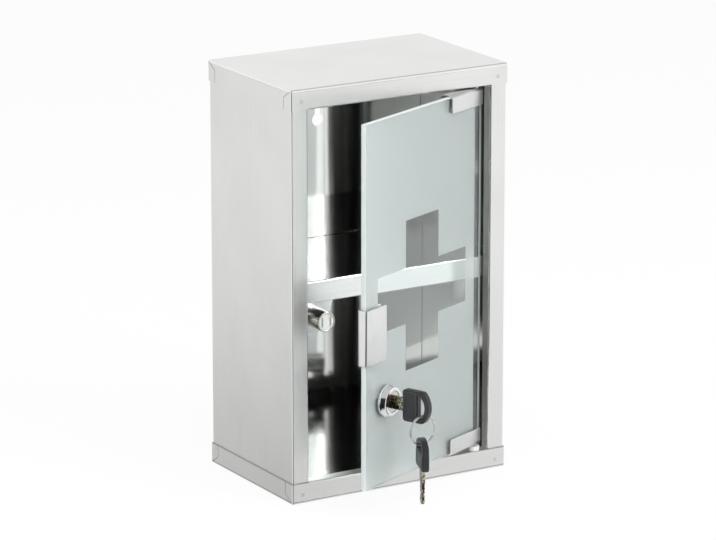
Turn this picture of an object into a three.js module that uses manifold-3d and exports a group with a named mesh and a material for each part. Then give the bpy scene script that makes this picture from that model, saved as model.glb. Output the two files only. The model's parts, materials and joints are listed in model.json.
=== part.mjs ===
// Small wall cabinet for medicines: folded stainless sheet with a frosted glass door.
// Millimetres. X runs to the right, Y to the back, Z up; the origin is the middle of the base.

import * as THREE from 'three';
import { mergeVertices } from 'three/addons/utils/BufferGeometryUtils.js';
import Module from 'manifold-3d';

const wasm = await Module();
wasm.setup();

// Carcass
const CABINET_WIDTH = 178;
const CABINET_DEPTH = 118;
const CABINET_HEIGHT = 300;
const SHEET = 0.8;
const FOLD_INSIDE = 0.3;
const COVER_CORNER = 1.3;
const COVER_FLANGE = 15;
const CORNER_TAB = 10;
const SEAM_GAP = 0.4;
const STILE_WIDTH = 14;
const RETURN_DEPTH = 9.2;
const REAR_FLANGE = 12;
const WELD_GAP = 0.05;
const KEYHOLE_HEIGHT = 246;
const KEYHOLE_DIAMETER = 9.5;
const KEYHOLE_SLOT = 5;
const KEYHOLE_RISE = 11;

// Shelf
const SHELF_TOP = 158.4;
const SHELF_LIP = 15.6;
const SHELF_SETBACK = 10.5;

// Door
const DOOR_ANGLE = 23.7;
const DOOR_HINGE_GAP = 5.2;
const DOOR_FREE_GAP = 2.5;
const DOOR_TOP_GAP = 2;
const DOOR_BOTTOM_GAP = 5;
const GLASS_THICKNESS = 4;
const GLASS_CHAMFER = 0.6;
const FROST_THICKNESS = 0.25;
const FROST_MARGIN = 0.5;
const FROST_HINGE_MARGIN = 6;
const CROSS_SPAN = 109;
const CROSS_BAR = 40.5;

// Pivot hinges
const PIVOT_INSET = 10.2;
const PIVOT_DEPTH = 4.6;
const PIN_DIAMETER = 4;
const PIN_REACH = 6;
const PIN_FIT = 0.15;
const BUSH_SPIGOT_WALL = 0.8;
const LOWER_BUSH_DIAMETER = 9;
const LOWER_BUSH_SPIGOT = 3.5;
const UPPER_BUSH_DIAMETER = 6.6;
const UPPER_BUSH_FLANGE = 1.6;
const BUSH_PLAY = 0.3;
const CLIP_SHEET = 1;
const CLIP_FOLD = 2.3;
const CLIP_LENGTH = 38;
const CLIP_INSET = 1.4;
const CLIP_HEIGHT = 13;
const CLIP_GAP = 0.4;
const CLIP_SCREW_ROOM = 3.7;
const PAD_THICKNESS = 0.4;
const PAD_GAP = 0.15;
const PAD_MARGIN = 2;
const PRESSURE_PLATE = 0.9;
const CLAMP_SCREW_DIAMETER = 3;
const CLAMP_SCREW_HEAD = 5.4;
const CLAMP_SCREW_HEAD_HEIGHT = 1.6;
const CLAMP_SCREW_SPACING = 16;
const SCREW_FIT = 0.15;

// Handle
const HANDLE_WIDTH = 24;
const HANDLE_HEIGHT = 40;
const HANDLE_BOTTOM = 111;
const HANDLE_SHEET = 1.2;
const HANDLE_FOLD = 0.8;
const HANDLE_EDGE_GAP = 0.3;

// Magnetic catch
const CATCH_INSET = 5.5;
const CATCH_DROP = 3.5;
const CATCH_DIAMETER = 14.3;
const CATCH_LENGTH = 17;
const CATCH_WALL = 1.2;
const CATCH_FLOOR = 4;
const CATCH_GAP = 0.3;
const INSERT_SINK = 0.4;
const INSERT_THICKNESS = 1.6;
const INSERT_FIT = 0.1;
const MAGNET_THICKNESS = 5.2;
const MAGNET_HEIGHT = 6.6;
const POLE_THICKNESS = 1.4;
const POLE_SINK = 1;
const BRACKET_SHEET = 1.2;
const BRACKET_WIDTH = 33;
const BRACKET_END_RADIUS = 12;
const BRACKET_FOOT = 16;
const CATCH_SCREW_DIAMETER = 4;
const CATCH_SCREW_HEAD = 7;
const CATCH_SCREW_HEAD_HEIGHT = 2.4;
const CATCH_SCREW_GRIP = 3.4;

// Lock
const LOCK_EDGE_INSET = 25.5;
const LOCK_HEIGHT = 80.5;
const BEZEL_DIAMETER = 24;
const BEZEL_HEIGHT = 5;
const BEZEL_ROUND = 1.6;
const BARREL_DIAMETER = 18.8;
const BARREL_LENGTH = 15;
const GASKET_THICKNESS = 0.5;
const GASKET_INSET = 0.4;
const WASHER_THICKNESS = 0.6;
const WASHER_DIAMETER = 25;
const NUT_FLATS = 23;
const NUT_THICKNESS = 2.6;
const LOCK_FIT = 0.2;
const PLUG_DIAMETER = 12.8;
const PLUG_RIM = 1.2;
const PLUG_RIM_DEPTH = 1.3;
const PLUG_RECESS = 0.6;
const PLUG_TAIL = 1.8;
const PLUG_SQUARE = 6;
const KEYWAY_DEPTH = 17.6;
const WAFER_COUNT = 4;
const WAFER_THICKNESS = 0.7;
const WAFER_PITCH = 3;
const WAFER_FIRST = 3.4;
const WAFER_WIDTH = 6.2;
const WAFER_RIM = 0.8;
const CAM_SHEET = 1.5;
const CAM_WIDTH = 12;
const CAM_REACH = 36;
const CAM_HEEL = 8;
const CAM_CRANK_START = 14;
const CAM_CRANK_RUN = 4;
const CAM_FOLD = 1;
const CAM_CLEARANCE = 0.8;
const CAM_SCREW_DIAMETER = 3.2;
const CAM_SCREW_HEAD = 8.2;
const CAM_SCREW_HEAD_HEIGHT = 2;
const CAM_SCREW_GRIP = 2.4;

// Keys and ring
const KEY_SEAT = 0.3;
const BLADE_THICKNESS = 2;
const BLADE_HEIGHT = 7.4;
const BLADE_LENGTH = 16.8;
const BLADE_POINT = 2.6;
const BITTING = [0.9, 0.5, 1.1, 0.7];
const BITTING_WIDTH = 0.8;
const NECK_HEIGHT = 9.6;
const NECK_LENGTH = 9.2;
const TANG_LENGTH = 10;
const HEAD_LENGTH = 22;
const HEAD_HEIGHT = 23;
const HEAD_THICKNESS = 4.7;
const HEAD_CORNER = 4.5;
const HEAD_EDGE = 0.7;
const HEAD_SLOT_WIDTH = 5.7;
const HEAD_SLOT_HEIGHT = 14.4;
const HEAD_SLOT_STRIP = 3.5;
const RING_DIAMETER = 21.2;
const RING_WIRE = 0.9;
const RING_PITCH = 1.35;
const RING_CROSSOVER = 60;
const RING_SLACK = 0.9;
const RING_TWIST = -16.6;
const SPARE_KEY_TWIST = -27;

// Facets
const ROUND_SIDES = 32;
const SMALL_SIDES = 18;
const HEXAGON_SIDES = 6;
const FOLD_STEPS = 4;
const CORNER_STEPS = 2;
const HEAD_STEPS = 3;
const HEAD_EDGE_STEPS = 2;
const RING_STEPS = 44;
const RING_SIDES = 6;
const RING_SAMPLES = 176;

// Places that follow from the sizes
const FRONT = -CABINET_DEPTH / 2;
const BACK = CABINET_DEPTH / 2;
const BODY_SIDE = CABINET_WIDTH / 2 - SHEET - WELD_GAP;
const BODY_FRONT = FRONT + SHEET + WELD_GAP;
const BODY_BACK = BACK - SHEET - WELD_GAP;
const OPENING_SIDE = CABINET_WIDTH / 2 - STILE_WIDTH;
const OPENING_BOTTOM = COVER_FLANGE;
const OPENING_TOP = CABINET_HEIGHT - COVER_FLANGE;
const PIVOT_X = OPENING_SIDE - PIVOT_INSET;
const PIVOT_Y = FRONT + PIVOT_DEPTH;
const BACK_PANEL_FACE = BODY_BACK - 2 * SHEET - WELD_GAP;
const LIP_SIDE = OPENING_SIDE - WELD_GAP;

// The door's own frame has its origin on the pivot axis; the closed door runs to -X, its front is -Y.
const GLASS_HINGE_EDGE = PIVOT_INSET - DOOR_HINGE_GAP;
const GLASS_FREE_EDGE = PIVOT_INSET + DOOR_FREE_GAP - 2 * OPENING_SIDE;
const GLASS_BOTTOM = OPENING_BOTTOM + DOOR_BOTTOM_GAP;
const GLASS_TOP = OPENING_TOP - DOOR_TOP_GAP;
const GLASS_FACE = GLASS_THICKNESS / 2;
const FROST_NEAR = GLASS_FACE + WELD_GAP;
const FROST_FAR = FROST_NEAR + FROST_THICKNESS;
const PIN_RADIUS = PIN_DIAMETER / 2;
const BUSH_BORE = PIN_RADIUS + PIN_FIT;
const BUSH_SPIGOT = BUSH_BORE + BUSH_SPIGOT_WALL;
const BUSH_HOLE = BUSH_SPIGOT + PIN_FIT;
const CLIP_FRONT = GLASS_FACE + PAD_THICKNESS + 2 * PAD_GAP;
const CLIP_REAR = FROST_FAR + PRESSURE_PLATE + 2 * PAD_GAP + CLIP_SCREW_ROOM;
const HANDLE_FRONT = GLASS_FACE + PAD_THICKNESS + 2 * PAD_GAP;
const HANDLE_REAR = FROST_FAR + PAD_THICKNESS + 2 * PAD_GAP;
const HANDLE_OUTER_EDGE = GLASS_FREE_EDGE - HANDLE_EDGE_GAP - HANDLE_SHEET;
const HANDLE_INNER_EDGE = HANDLE_OUTER_EDGE + HANDLE_WIDTH;

// The lock's frame has its origin in the middle of the glass; Z points out of the door, Y up.
const LOCK_X = GLASS_FREE_EDGE + LOCK_EDGE_INSET;
const BARREL_RADIUS = BARREL_DIAMETER / 2;
const BEZEL_BACK = GLASS_FACE + GASKET_THICKNESS + 2 * PAD_GAP;
const BEZEL_FACE = BEZEL_BACK + BEZEL_HEIGHT;
const BARREL_END = BEZEL_BACK - BARREL_LENGTH;
const PLUG_RADIUS = PLUG_DIAMETER / 2;
const PLUG_FACE = BEZEL_FACE - PLUG_RECESS;
const PLUG_END = BARREL_END - LOCK_FIT;
const TAIL_END = PLUG_END - PLUG_TAIL;
const WASHER_FACE = -FROST_FAR - PAD_GAP;
const NUT_FACE = WASHER_FACE - WASHER_THICKNESS - PAD_GAP;
const CAM_HUB = PLUG_END - PAD_GAP - CAM_SHEET / 2;
const CAM_TIP = PIVOT_DEPTH - RETURN_DEPTH - CAM_CLEARANCE - CAM_SHEET / 2;

// A key's frame has its origin at the shoulder; Z runs along the key to the end of its head,
// Y across the head.
const HEAD_END = NECK_LENGTH + HEAD_LENGTH;
const SLOT_Z = HEAD_END - HEAD_SLOT_STRIP - HEAD_SLOT_WIDTH / 2;
const RING_RADIUS = RING_DIAMETER / 2;
const RING_SEAT = RING_SLACK + RING_WIRE / 2;

const STEEL = { color: 0xdcdedd, roughness: 0.32, metalness: 1 };
const BRIGHT_STEEL = { color: 0xd6d7d6, roughness: 0.22, metalness: 1 };
const SATIN_STEEL = { color: 0xc9ccca, roughness: 0.4, metalness: 1 };
const CHROME = { color: 0xe6e7e8, roughness: 0.08, metalness: 1 };
const NICKEL = { color: 0xbdb5a6, roughness: 0.28, metalness: 1 };
const FERRITE = { color: 0x3a3a3c, roughness: 0.7, metalness: 0.2 };
const WHITE_NYLON = { color: 0xf0f0ec, roughness: 0.5, metalness: 0 };
const BLACK_PLASTIC = { color: 0x26282a, roughness: 0.5, metalness: 0 };
const CLEAR_RUBBER = { color: 0x9aa09e, roughness: 0.7, metalness: 0 };
const GLASS = { color: 0xcfe3e0, roughness: 0.03, metalness: 0, transparent: true, opacity: 0.35 };
const FROST = { color: 0xc6d4d3, roughness: 0.8, metalness: 0, transparent: true, opacity: 0.8 };

function piece(name, geometry, finish) {
  const mesh = new THREE.Mesh(geometry, new THREE.MeshStandardMaterial(finish));
  mesh.name = name;
  return mesh;
}

function toSolid(geometry) {
  const bare = geometry.clone();
  bare.deleteAttribute('normal');
  bare.deleteAttribute('uv');
  const merged = mergeVertices(bare);
  const mesh = new wasm.Mesh({
    numProp: 3,
    vertProperties: merged.attributes.position.array,
    triVerts: new Uint32Array(merged.index.array),
  });
  return new wasm.Manifold(mesh);
}

function toGeometry(solid) {
  const mesh = solid.getMesh();
  const geometry = new THREE.BufferGeometry();
  geometry.setAttribute('position', new THREE.BufferAttribute(mesh.vertProperties, 3));
  geometry.setIndex(new THREE.BufferAttribute(mesh.triVerts, 1));
  return geometry;
}

function combine(operation, base, others) {
  const start = toSolid(base);
  return toGeometry(others.reduce((solid, other) => solid[operation](toSolid(other)), start));
}

function cut(base, ...tools) {
  return combine('subtract', base, tools);
}

function join(base, ...others) {
  return combine('add', base, others);
}

function common(base, ...others) {
  return combine('intersect', base, others);
}

function block(low, high) {
  const size = high.map((value, axis) => value - low[axis]);
  const middle = high.map((value, axis) => (value + low[axis]) / 2);
  return new THREE.BoxGeometry(...size).translate(...middle);
}

// A round bar along Z.
function bar(radius, from, to, sides = ROUND_SIDES) {
  const geometry = new THREE.CylinderGeometry(radius, radius, to - from, sides);
  return geometry.rotateX(Math.PI / 2).translate(0, 0, (from + to) / 2);
}

// A ring or sleeve turned about Z from a closed [radius, z] profile, listed anticlockwise.
function turned(profile, sides = ROUND_SIDES) {
  const points = [...profile, profile[0]].map(([radius, z]) => new THREE.Vector2(radius, z));
  return new THREE.LatheGeometry(points, sides).rotateX(Math.PI / 2);
}

function extruded(shape, from, to) {
  const options = { depth: to - from, bevelEnabled: false, curveSegments: ROUND_SIDES / 2 };
  return new THREE.ExtrudeGeometry(shape, options).translate(0, 0, from);
}

// Extrusions of an outline drawn in another plane: (y, z) along X, (x, z) along Y, (z, y) about X 0.
function extrudedAlongX(shape, from, to) {
  const toX = new THREE.Matrix4().makeBasis(axis(1), axis(2), axis(0));
  return extruded(shape, from, to).applyMatrix4(toX);
}

function extrudedAlongY(shape, from, to) {
  return extruded(shape, -to, -from).rotateX(Math.PI / 2);
}

function extrudedFlat(shape, thickness) {
  return extruded(shape, -thickness / 2, thickness / 2).rotateY(-Math.PI / 2);
}

function axis(index) {
  return new THREE.Vector3().setComponent(index, 1);
}

function rectangle(left, right, bottom, top, corner = 0) {
  const shape = new THREE.Shape();
  if (corner === 0) {
    return shape.moveTo(left, bottom).lineTo(right, bottom).lineTo(right, top).lineTo(left, top);
  }
  shape.absarc(right - corner, bottom + corner, corner, -Math.PI / 2, 0);
  shape.absarc(right - corner, top - corner, corner, 0, Math.PI / 2);
  shape.absarc(left + corner, top - corner, corner, Math.PI / 2, Math.PI);
  shape.absarc(left + corner, bottom + corner, corner, Math.PI, 1.5 * Math.PI);
  return shape;
}

// The outline of a sheet folded along a path: its two faces lie half a sheet to either side,
// and each corner of the path becomes an arc.
function foldedOutline(path, sheet, inside) {
  const points = path.map(([x, y]) => new THREE.Vector2(x, y));
  const middle = inside + sheet / 2;
  const left = [];
  const right = [];
  const last = points.length - 1;
  points.forEach((point, index) => {
    const before = point.clone().sub(points[Math.max(index - 1, 0)]).normalize();
    const after = points[Math.min(index + 1, last)].clone().sub(point).normalize();
    if (index === 0 || index === last) {
      const along = index === 0 ? after : before;
      const across = new THREE.Vector2(-along.y, along.x);
      left.push(point.clone().addScaledVector(across, sheet / 2));
      right.push(point.clone().addScaledVector(across, -sheet / 2));
      return;
    }
    const turn = Math.atan2(before.cross(after), before.dot(after));
    const side = Math.sign(turn);
    const inward = new THREE.Vector2(-before.y, before.x).multiplyScalar(side);
    const start = point.clone().addScaledVector(before, -middle * Math.tan(Math.abs(turn) / 2));
    const centre = start.addScaledVector(inward, middle);
    for (let step = 0; step <= FOLD_STEPS; step++) {
      const spoke = inward.clone().negate().rotateAround(new THREE.Vector2(), (turn * step) / FOLD_STEPS);
      left.push(centre.clone().addScaledVector(spoke, middle - (side * sheet) / 2));
      right.push(centre.clone().addScaledVector(spoke, middle + (side * sheet) / 2));
    }
  });
  return new THREE.Shape([...left, ...right.reverse()]);
}

// A block standing on Z 0 with rounded upright corners and rounded upper edges.
function roundedBlock(left, right, front, back, height, fold, corner) {
  return new THREE.ExtrudeGeometry(rectangle(left, right, front, back, corner), {
    depth: height - fold,
    bevelThickness: fold,
    bevelSize: fold,
    bevelOffset: -fold,
    bevelSegments: FOLD_STEPS,
    curveSegments: CORNER_STEPS,
  });
}

// A plate with its four edges folded down, open below.
function tray(left, right, front, back, height) {
  const outside = roundedBlock(left, right, front, back, height, FOLD_INSIDE + SHEET, COVER_CORNER);
  const inside = roundedBlock(
    left + SHEET, right - SHEET, front + SHEET, back - SHEET,
    height - SHEET, FOLD_INSIDE, COVER_CORNER - SHEET,
  );
  const below = block([2 * left, 2 * front, -height], [2 * right, 2 * back, 0]);
  return cut(outside, inside, below);
}

// The seam where a cover's side edge ends short of the corner, and the front or rear edge
// wraps round to meet it.
function cornerSeam(side, end) {
  const upright = end * (BACK - CORNER_TAB);
  const fold = COVER_FLANGE - FOLD_INSIDE - SHEET;
  const path = [
    [upright, -SHEET],
    [upright, fold - CORNER_TAB / 2],
    [end * (BACK - COVER_CORNER), fold],
  ];
  const edge = side * (CABINET_WIDTH / 2);
  return extrudedAlongX(foldedOutline(path, SEAM_GAP, SEAM_GAP), edge - 2 * SHEET, edge + SHEET);
}

// Top and bottom covers are alike: modelled as a top cover whose folded edges end at Z 0.
// The band at the front turns back behind the opening, and that lip carries a bush.
function cover(bushX) {
  const bandFold = COVER_FLANGE / 2;
  const shell = tray(-CABINET_WIDTH / 2, CABINET_WIDTH / 2, FRONT, BACK, COVER_FLANGE);
  const bandGap = block([-LIP_SIDE, FRONT - SHEET, -SHEET], [LIP_SIDE, FRONT + 2 * SHEET, bandFold]);
  const path = [
    [FRONT + SHEET / 2, bandFold + SHEET],
    [FRONT + SHEET / 2, SHEET / 2],
    [FRONT + RETURN_DEPTH, SHEET / 2],
  ];
  const band = extrudedAlongX(foldedOutline(path, SHEET, FOLD_INSIDE), -LIP_SIDE, LIP_SIDE);
  const bushHole = bar(BUSH_HOLE, -SHEET, 2 * SHEET).translate(bushX, PIVOT_Y, 0);
  const seams = [-1, 1].flatMap((side) => [-1, 1].map((end) => cornerSeam(side, end)));
  return cut(join(cut(shell, bandGap), band), bushHole, ...seams);
}

function sidePanel(side) {
  const half = SHEET / 2;
  const path = [
    [OPENING_SIDE + half, FRONT + RETURN_DEPTH],
    [OPENING_SIDE + half, BODY_FRONT + half],
    [BODY_SIDE - half, BODY_FRONT + half],
    [BODY_SIDE - half, BODY_BACK - half],
    [BODY_SIDE - REAR_FLANGE, BODY_BACK - half],
  ];
  const outline = foldedOutline(path.map(([x, y]) => [side * x, y]), SHEET, FOLD_INSIDE);
  const end = SHEET + FOLD_INSIDE;
  return extruded(outline, end, CABINET_HEIGHT - end);
}

function backPanel() {
  const edge = BODY_SIDE - SHEET - FOLD_INSIDE - WELD_GAP;
  const foot = SHEET + WELD_GAP;
  const outline = rectangle(-edge, edge, foot, CABINET_HEIGHT - foot);
  const round = KEYHOLE_DIAMETER / 2;
  const slot = KEYHOLE_SLOT / 2;
  const meet = Math.asin(slot / round);
  const keyhole = new THREE.Path();
  keyhole.absarc(0, KEYHOLE_HEIGHT, round, Math.PI / 2 + meet, Math.PI / 2 - meet + 2 * Math.PI);
  keyhole.absarc(0, KEYHOLE_HEIGHT + KEYHOLE_RISE, slot, 0, Math.PI);
  outline.holes.push(keyhole);
  return extrudedAlongY(outline, BACK_PANEL_FACE, BACK_PANEL_FACE + SHEET);
}

function shelf() {
  const edge = BODY_SIDE - SHEET - WELD_GAP;
  const deck = tray(-edge, edge, FRONT + SHELF_SETBACK, BACK_PANEL_FACE - WELD_GAP, SHELF_LIP);
  return deck.translate(0, 0, SHELF_TOP - SHELF_LIP);
}

// Nylon bush: modelled with its flange above Z 0 and its spigot below.
function bush(diameter, flange, spigot) {
  return turned([
    [BUSH_BORE, -spigot],
    [BUSH_SPIGOT, -spigot],
    [BUSH_SPIGOT, WELD_GAP],
    [diameter / 2, WELD_GAP],
    [diameter / 2, flange],
    [BUSH_BORE, flange],
  ]);
}

function carcass() {
  const group = new THREE.Group();
  const top = piece('top_cover', cover(PIVOT_X), STEEL);
  top.position.z = OPENING_TOP;
  const bottom = piece('bottom_tray', cover(-PIVOT_X), STEEL);
  bottom.position.z = OPENING_BOTTOM;
  bottom.rotation.y = Math.PI;
  const upperSleeve = bush(UPPER_BUSH_DIAMETER, UPPER_BUSH_FLANGE, SHEET);
  const upperBush = piece('upper_hinge_bush', upperSleeve, WHITE_NYLON);
  upperBush.position.set(PIVOT_X, PIVOT_Y, OPENING_TOP + SHEET);
  const lowerFlange = DOOR_BOTTOM_GAP - CLIP_GAP - CLIP_SHEET - BUSH_PLAY;
  const lowerSleeve = bush(LOWER_BUSH_DIAMETER, lowerFlange, LOWER_BUSH_SPIGOT);
  const lowerBush = piece('lower_hinge_bush', lowerSleeve, WHITE_NYLON);
  lowerBush.position.set(PIVOT_X, PIVOT_Y, OPENING_BOTTOM);
  group.add(top, bottom, upperBush, lowerBush);
  group.add(piece('left_side_panel', sidePanel(-1), STEEL));
  group.add(piece('right_side_panel', sidePanel(1), STEEL));
  group.add(piece('back_panel', backPanel(), STEEL));
  group.add(piece('shelf', shelf(), STEEL));
  return group;
}

// Magnetic catch, in a frame with Z pointing out of the cabinet and the barrel's face at Z 0.
// A tongue welded under the shelf carries the barrel.
function catchBracket(shelfUnderside, plateFace) {
  const plate = plateFace - BRACKET_SHEET / 2;
  const foot = shelfUnderside - WELD_GAP - BRACKET_SHEET / 2;
  const path = [
    [foot, plate - BRACKET_FOOT],
    [foot, plate],
    [-BRACKET_END_RADIUS, plate],
  ];
  const half = BRACKET_WIDTH / 2;
  const strip = extrudedAlongX(foldedOutline(path, BRACKET_SHEET, BRACKET_SHEET), -half, half);
  const outline = new THREE.Shape();
  outline.moveTo(half, shelfUnderside);
  outline.lineTo(-half, shelfUnderside);
  outline.lineTo(-half, shelfUnderside - SHELF_LIP);
  outline.absarc(0, 0, BRACKET_END_RADIUS, Math.PI, 2 * Math.PI);
  outline.lineTo(half, shelfUnderside - SHELF_LIP);
  const tongue = extruded(outline, plate - BRACKET_FOOT - BRACKET_SHEET, plate + BRACKET_SHEET);
  const hole = bar(CATCH_SCREW_DIAMETER / 2 + SCREW_FIT, plate - BRACKET_SHEET, plate + BRACKET_SHEET);
  return cut(common(strip, tongue), hole);
}

function catchBarrel() {
  const outer = CATCH_DIAMETER / 2;
  const hole = CATCH_SCREW_DIAMETER / 2 + SCREW_FIT;
  const floor = CATCH_FLOOR - CATCH_LENGTH;
  return turned([
    [hole, -CATCH_LENGTH],
    [outer, -CATCH_LENGTH],
    [outer, 0],
    [outer - CATCH_WALL, 0],
    [outer - CATCH_WALL, floor],
    [hole, floor],
  ]);
}

// The two pole plates stand left and right of the magnet.
function poleSpan(side) {
  const near = side * (MAGNET_THICKNESS / 2 + WELD_GAP);
  const far = near + side * POLE_THICKNESS;
  return [Math.min(near, far), Math.max(near, far)];
}

// A disc in the mouth of the barrel keeps the magnet in, and has a slot in front of each pole plate.
function catchInsert() {
  const back = -INSERT_SINK - INSERT_THICKNESS;
  const disc = bar(CATCH_DIAMETER / 2 - CATCH_WALL - INSERT_FIT, back, -INSERT_SINK);
  const half = MAGNET_HEIGHT / 2 + INSERT_FIT;
  const slots = [-1, 1].map((side) => {
    const [left, right] = poleSpan(side);
    return block([left - INSERT_FIT, -half, 2 * back], [right + INSERT_FIT, half, INSERT_SINK]);
  });
  return cut(disc, ...slots);
}

// A screw along Z: its head stands below the seat and its shank runs up from it.
function screw(shankDiameter, shankLength, headDiameter, headHeight) {
  const shank = shankDiameter / 2;
  const head = headDiameter / 2;
  const points = [
    [0, -headHeight],
    [head, -headHeight],
    [head, 0],
    [shank, 0],
    [shank, shankLength],
    [0, shankLength],
  ];
  const profile = points.map(([radius, z]) => new THREE.Vector2(radius, z));
  return new THREE.LatheGeometry(profile, SMALL_SIDES).rotateX(Math.PI / 2);
}

function magneticCatch() {
  const group = new THREE.Group();
  const x = PIVOT_X + HANDLE_INNER_EDGE - CATCH_INSET;
  const z = HANDLE_BOTTOM + HANDLE_HEIGHT / 2 - CATCH_DROP;
  group.position.set(x, PIVOT_Y + HANDLE_REAR + HANDLE_SHEET + CATCH_GAP, z);
  group.rotation.x = Math.PI / 2;
  const plateFace = -CATCH_LENGTH - WELD_GAP;
  const floor = CATCH_FLOOR - CATCH_LENGTH + WELD_GAP;
  const magnet = block(
    [-MAGNET_THICKNESS / 2, -MAGNET_HEIGHT / 2, floor],
    [MAGNET_THICKNESS / 2, MAGNET_HEIGHT / 2, -INSERT_SINK - INSERT_THICKNESS - WELD_GAP],
  );
  group.add(piece('catch_bracket', catchBracket(SHELF_TOP - SHEET - z, plateFace), BRIGHT_STEEL));
  group.add(piece('catch_barrel', catchBarrel(), NICKEL));
  group.add(piece('catch_magnet', magnet, FERRITE));
  group.add(piece('catch_insert', catchInsert(), WHITE_NYLON));
  for (const [name, side] of [['catch_pole_left', -1], ['catch_pole_right', 1]]) {
    const [left, right] = poleSpan(side);
    const pole = block([left, -MAGNET_HEIGHT / 2, floor], [right, MAGNET_HEIGHT / 2, -POLE_SINK]);
    group.add(piece(name, pole, BRIGHT_STEEL));
  }
  const shank = BRACKET_SHEET + CATCH_SCREW_GRIP;
  const fixing = screw(CATCH_SCREW_DIAMETER, shank, CATCH_SCREW_HEAD, CATCH_SCREW_HEAD_HEIGHT);
  fixing.translate(0, 0, plateFace - BRACKET_SHEET - WELD_GAP);
  group.add(piece('catch_screw', fixing, BRIGHT_STEEL));
  return group;
}

function lockHole() {
  return new THREE.Path().absarc(LOCK_X, LOCK_HEIGHT, BARREL_RADIUS + LOCK_FIT, 0, 2 * Math.PI);
}

// The pane has all its edges ground to a small chamfer.
function doorGlass() {
  const outline = rectangle(GLASS_FREE_EDGE, GLASS_HINGE_EDGE, GLASS_BOTTOM, GLASS_TOP);
  outline.holes.push(lockHole());
  const pane = new THREE.ExtrudeGeometry(outline, {
    depth: GLASS_THICKNESS - 2 * GLASS_CHAMFER,
    bevelThickness: GLASS_CHAMFER,
    bevelSize: GLASS_CHAMFER,
    bevelOffset: -GLASS_CHAMFER,
    bevelSegments: 1,
    curveSegments: ROUND_SIDES / 2,
  });
  return pane.translate(0, 0, GLASS_CHAMFER - GLASS_FACE).rotateX(Math.PI / 2);
}

// The frosted layer on the inside of the pane leaves a plain cross clear in its middle, and a strip at the hinges.
function doorFrosting() {
  const left = GLASS_FREE_EDGE + FROST_MARGIN;
  const right = GLASS_HINGE_EDGE - FROST_HINGE_MARGIN;
  const outline = rectangle(left, right, GLASS_BOTTOM + FROST_MARGIN, GLASS_TOP - FROST_MARGIN);
  const x = (GLASS_FREE_EDGE + GLASS_HINGE_EDGE) / 2;
  const z = CABINET_HEIGHT / 2;
  const span = CROSS_SPAN / 2;
  const half = CROSS_BAR / 2;
  const quarter = [[half, span], [half, half], [span, half]];
  const corners = [0, 1, 2, 3].flatMap((turn) => quarter.map(([across, up]) => {
    const corner = new THREE.Vector2(across, up).rotateAround(new THREE.Vector2(), (-turn * Math.PI) / 2);
    return corner.add(new THREE.Vector2(x, z));
  }));
  outline.holes.push(new THREE.Path(corners), lockHole());
  return extrudedAlongY(outline, FROST_NEAR, FROST_FAR);
}

// Pivot clip over the upper edge of the glass, which lies at Z 0.
function hingeClip(left, right, screwPlaces, screwHeight) {
  const half = CLIP_SHEET / 2;
  const crown = CLIP_GAP + half;
  const hem = CLIP_GAP + CLIP_SHEET - CLIP_HEIGHT;
  const path = [
    [-CLIP_FRONT - half, hem],
    [-CLIP_FRONT - half, crown],
    [CLIP_REAR + half, crown],
    [CLIP_REAR + half, hem],
  ];
  const outline = foldedOutline(path, CLIP_SHEET, CLIP_FOLD);
  const channel = extrudedAlongX(outline, left, right);
  const pinHole = bar(PIN_RADIUS + PIN_FIT, -CLIP_FOLD, 2 * CLIP_SHEET);
  const screwHoles = screwPlaces.map((x) => {
    const hole = bar(CLAMP_SCREW_DIAMETER / 2 + SCREW_FIT, 0, 2 * CLIP_REAR, SMALL_SIDES);
    return hole.rotateX(-Math.PI / 2).translate(x, CLIP_REAR / 2, screwHeight);
  });
  return cut(channel, pinHole, ...screwHoles);
}

// Modelled for the upper edge; the lower hinge is turned over about Y, so it starts out mirrored in X.
function hingePieces(end, side) {
  const group = new THREE.Group();
  const hingeEnd = GLASS_HINGE_EDGE - CLIP_INSET;
  const ends = [side * hingeEnd, side * (hingeEnd - CLIP_LENGTH)];
  const left = Math.min(...ends);
  const right = Math.max(...ends);
  const middle = (left + right) / 2;
  const screwPlaces = [middle - CLAMP_SCREW_SPACING / 2, middle + CLAMP_SCREW_SPACING / 2];
  const hem = CLIP_GAP + CLIP_SHEET - CLIP_HEIGHT;
  const padTop = -PAD_MARGIN;
  const screwHeight = (hem + padTop) / 2;
  group.add(piece(`${end}_hinge_clip`, hingeClip(left, right, screwPlaces, screwHeight), SATIN_STEEL));
  const pin = bar(PIN_RADIUS, CLIP_GAP, CLIP_GAP + CLIP_SHEET + PIN_REACH);
  group.add(piece(`${end}_hinge_pin`, pin, BRIGHT_STEEL));
  const padNear = GLASS_FACE + PAD_GAP;
  const pad = block(
    [left + PAD_MARGIN, -padNear - PAD_THICKNESS, hem + PAD_MARGIN],
    [right - PAD_MARGIN, -padNear, padTop],
  );
  group.add(piece(`${end}_clip_pad`, pad, CLEAR_RUBBER));
  const plateNear = FROST_FAR + PAD_GAP;
  const plate = block(
    [left + PAD_MARGIN, plateNear, hem + PAD_MARGIN],
    [right - PAD_MARGIN, plateNear + PRESSURE_PLATE, padTop],
  );
  group.add(piece(`${end}_pressure_plate`, plate, BRIGHT_STEEL));
  screwPlaces.forEach((x, index) => {
    const shank = CLIP_SHEET + PAD_GAP + CLIP_SCREW_ROOM;
    const clamp = screw(CLAMP_SCREW_DIAMETER, shank, CLAMP_SCREW_HEAD, CLAMP_SCREW_HEAD_HEIGHT);
    clamp.rotateX(Math.PI / 2).translate(x, CLIP_REAR + CLIP_SHEET + PAD_GAP, screwHeight);
    group.add(piece(`${end}_clamp_screw_${index + 1}`, clamp, BRIGHT_STEEL));
  });
  return group;
}

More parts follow.
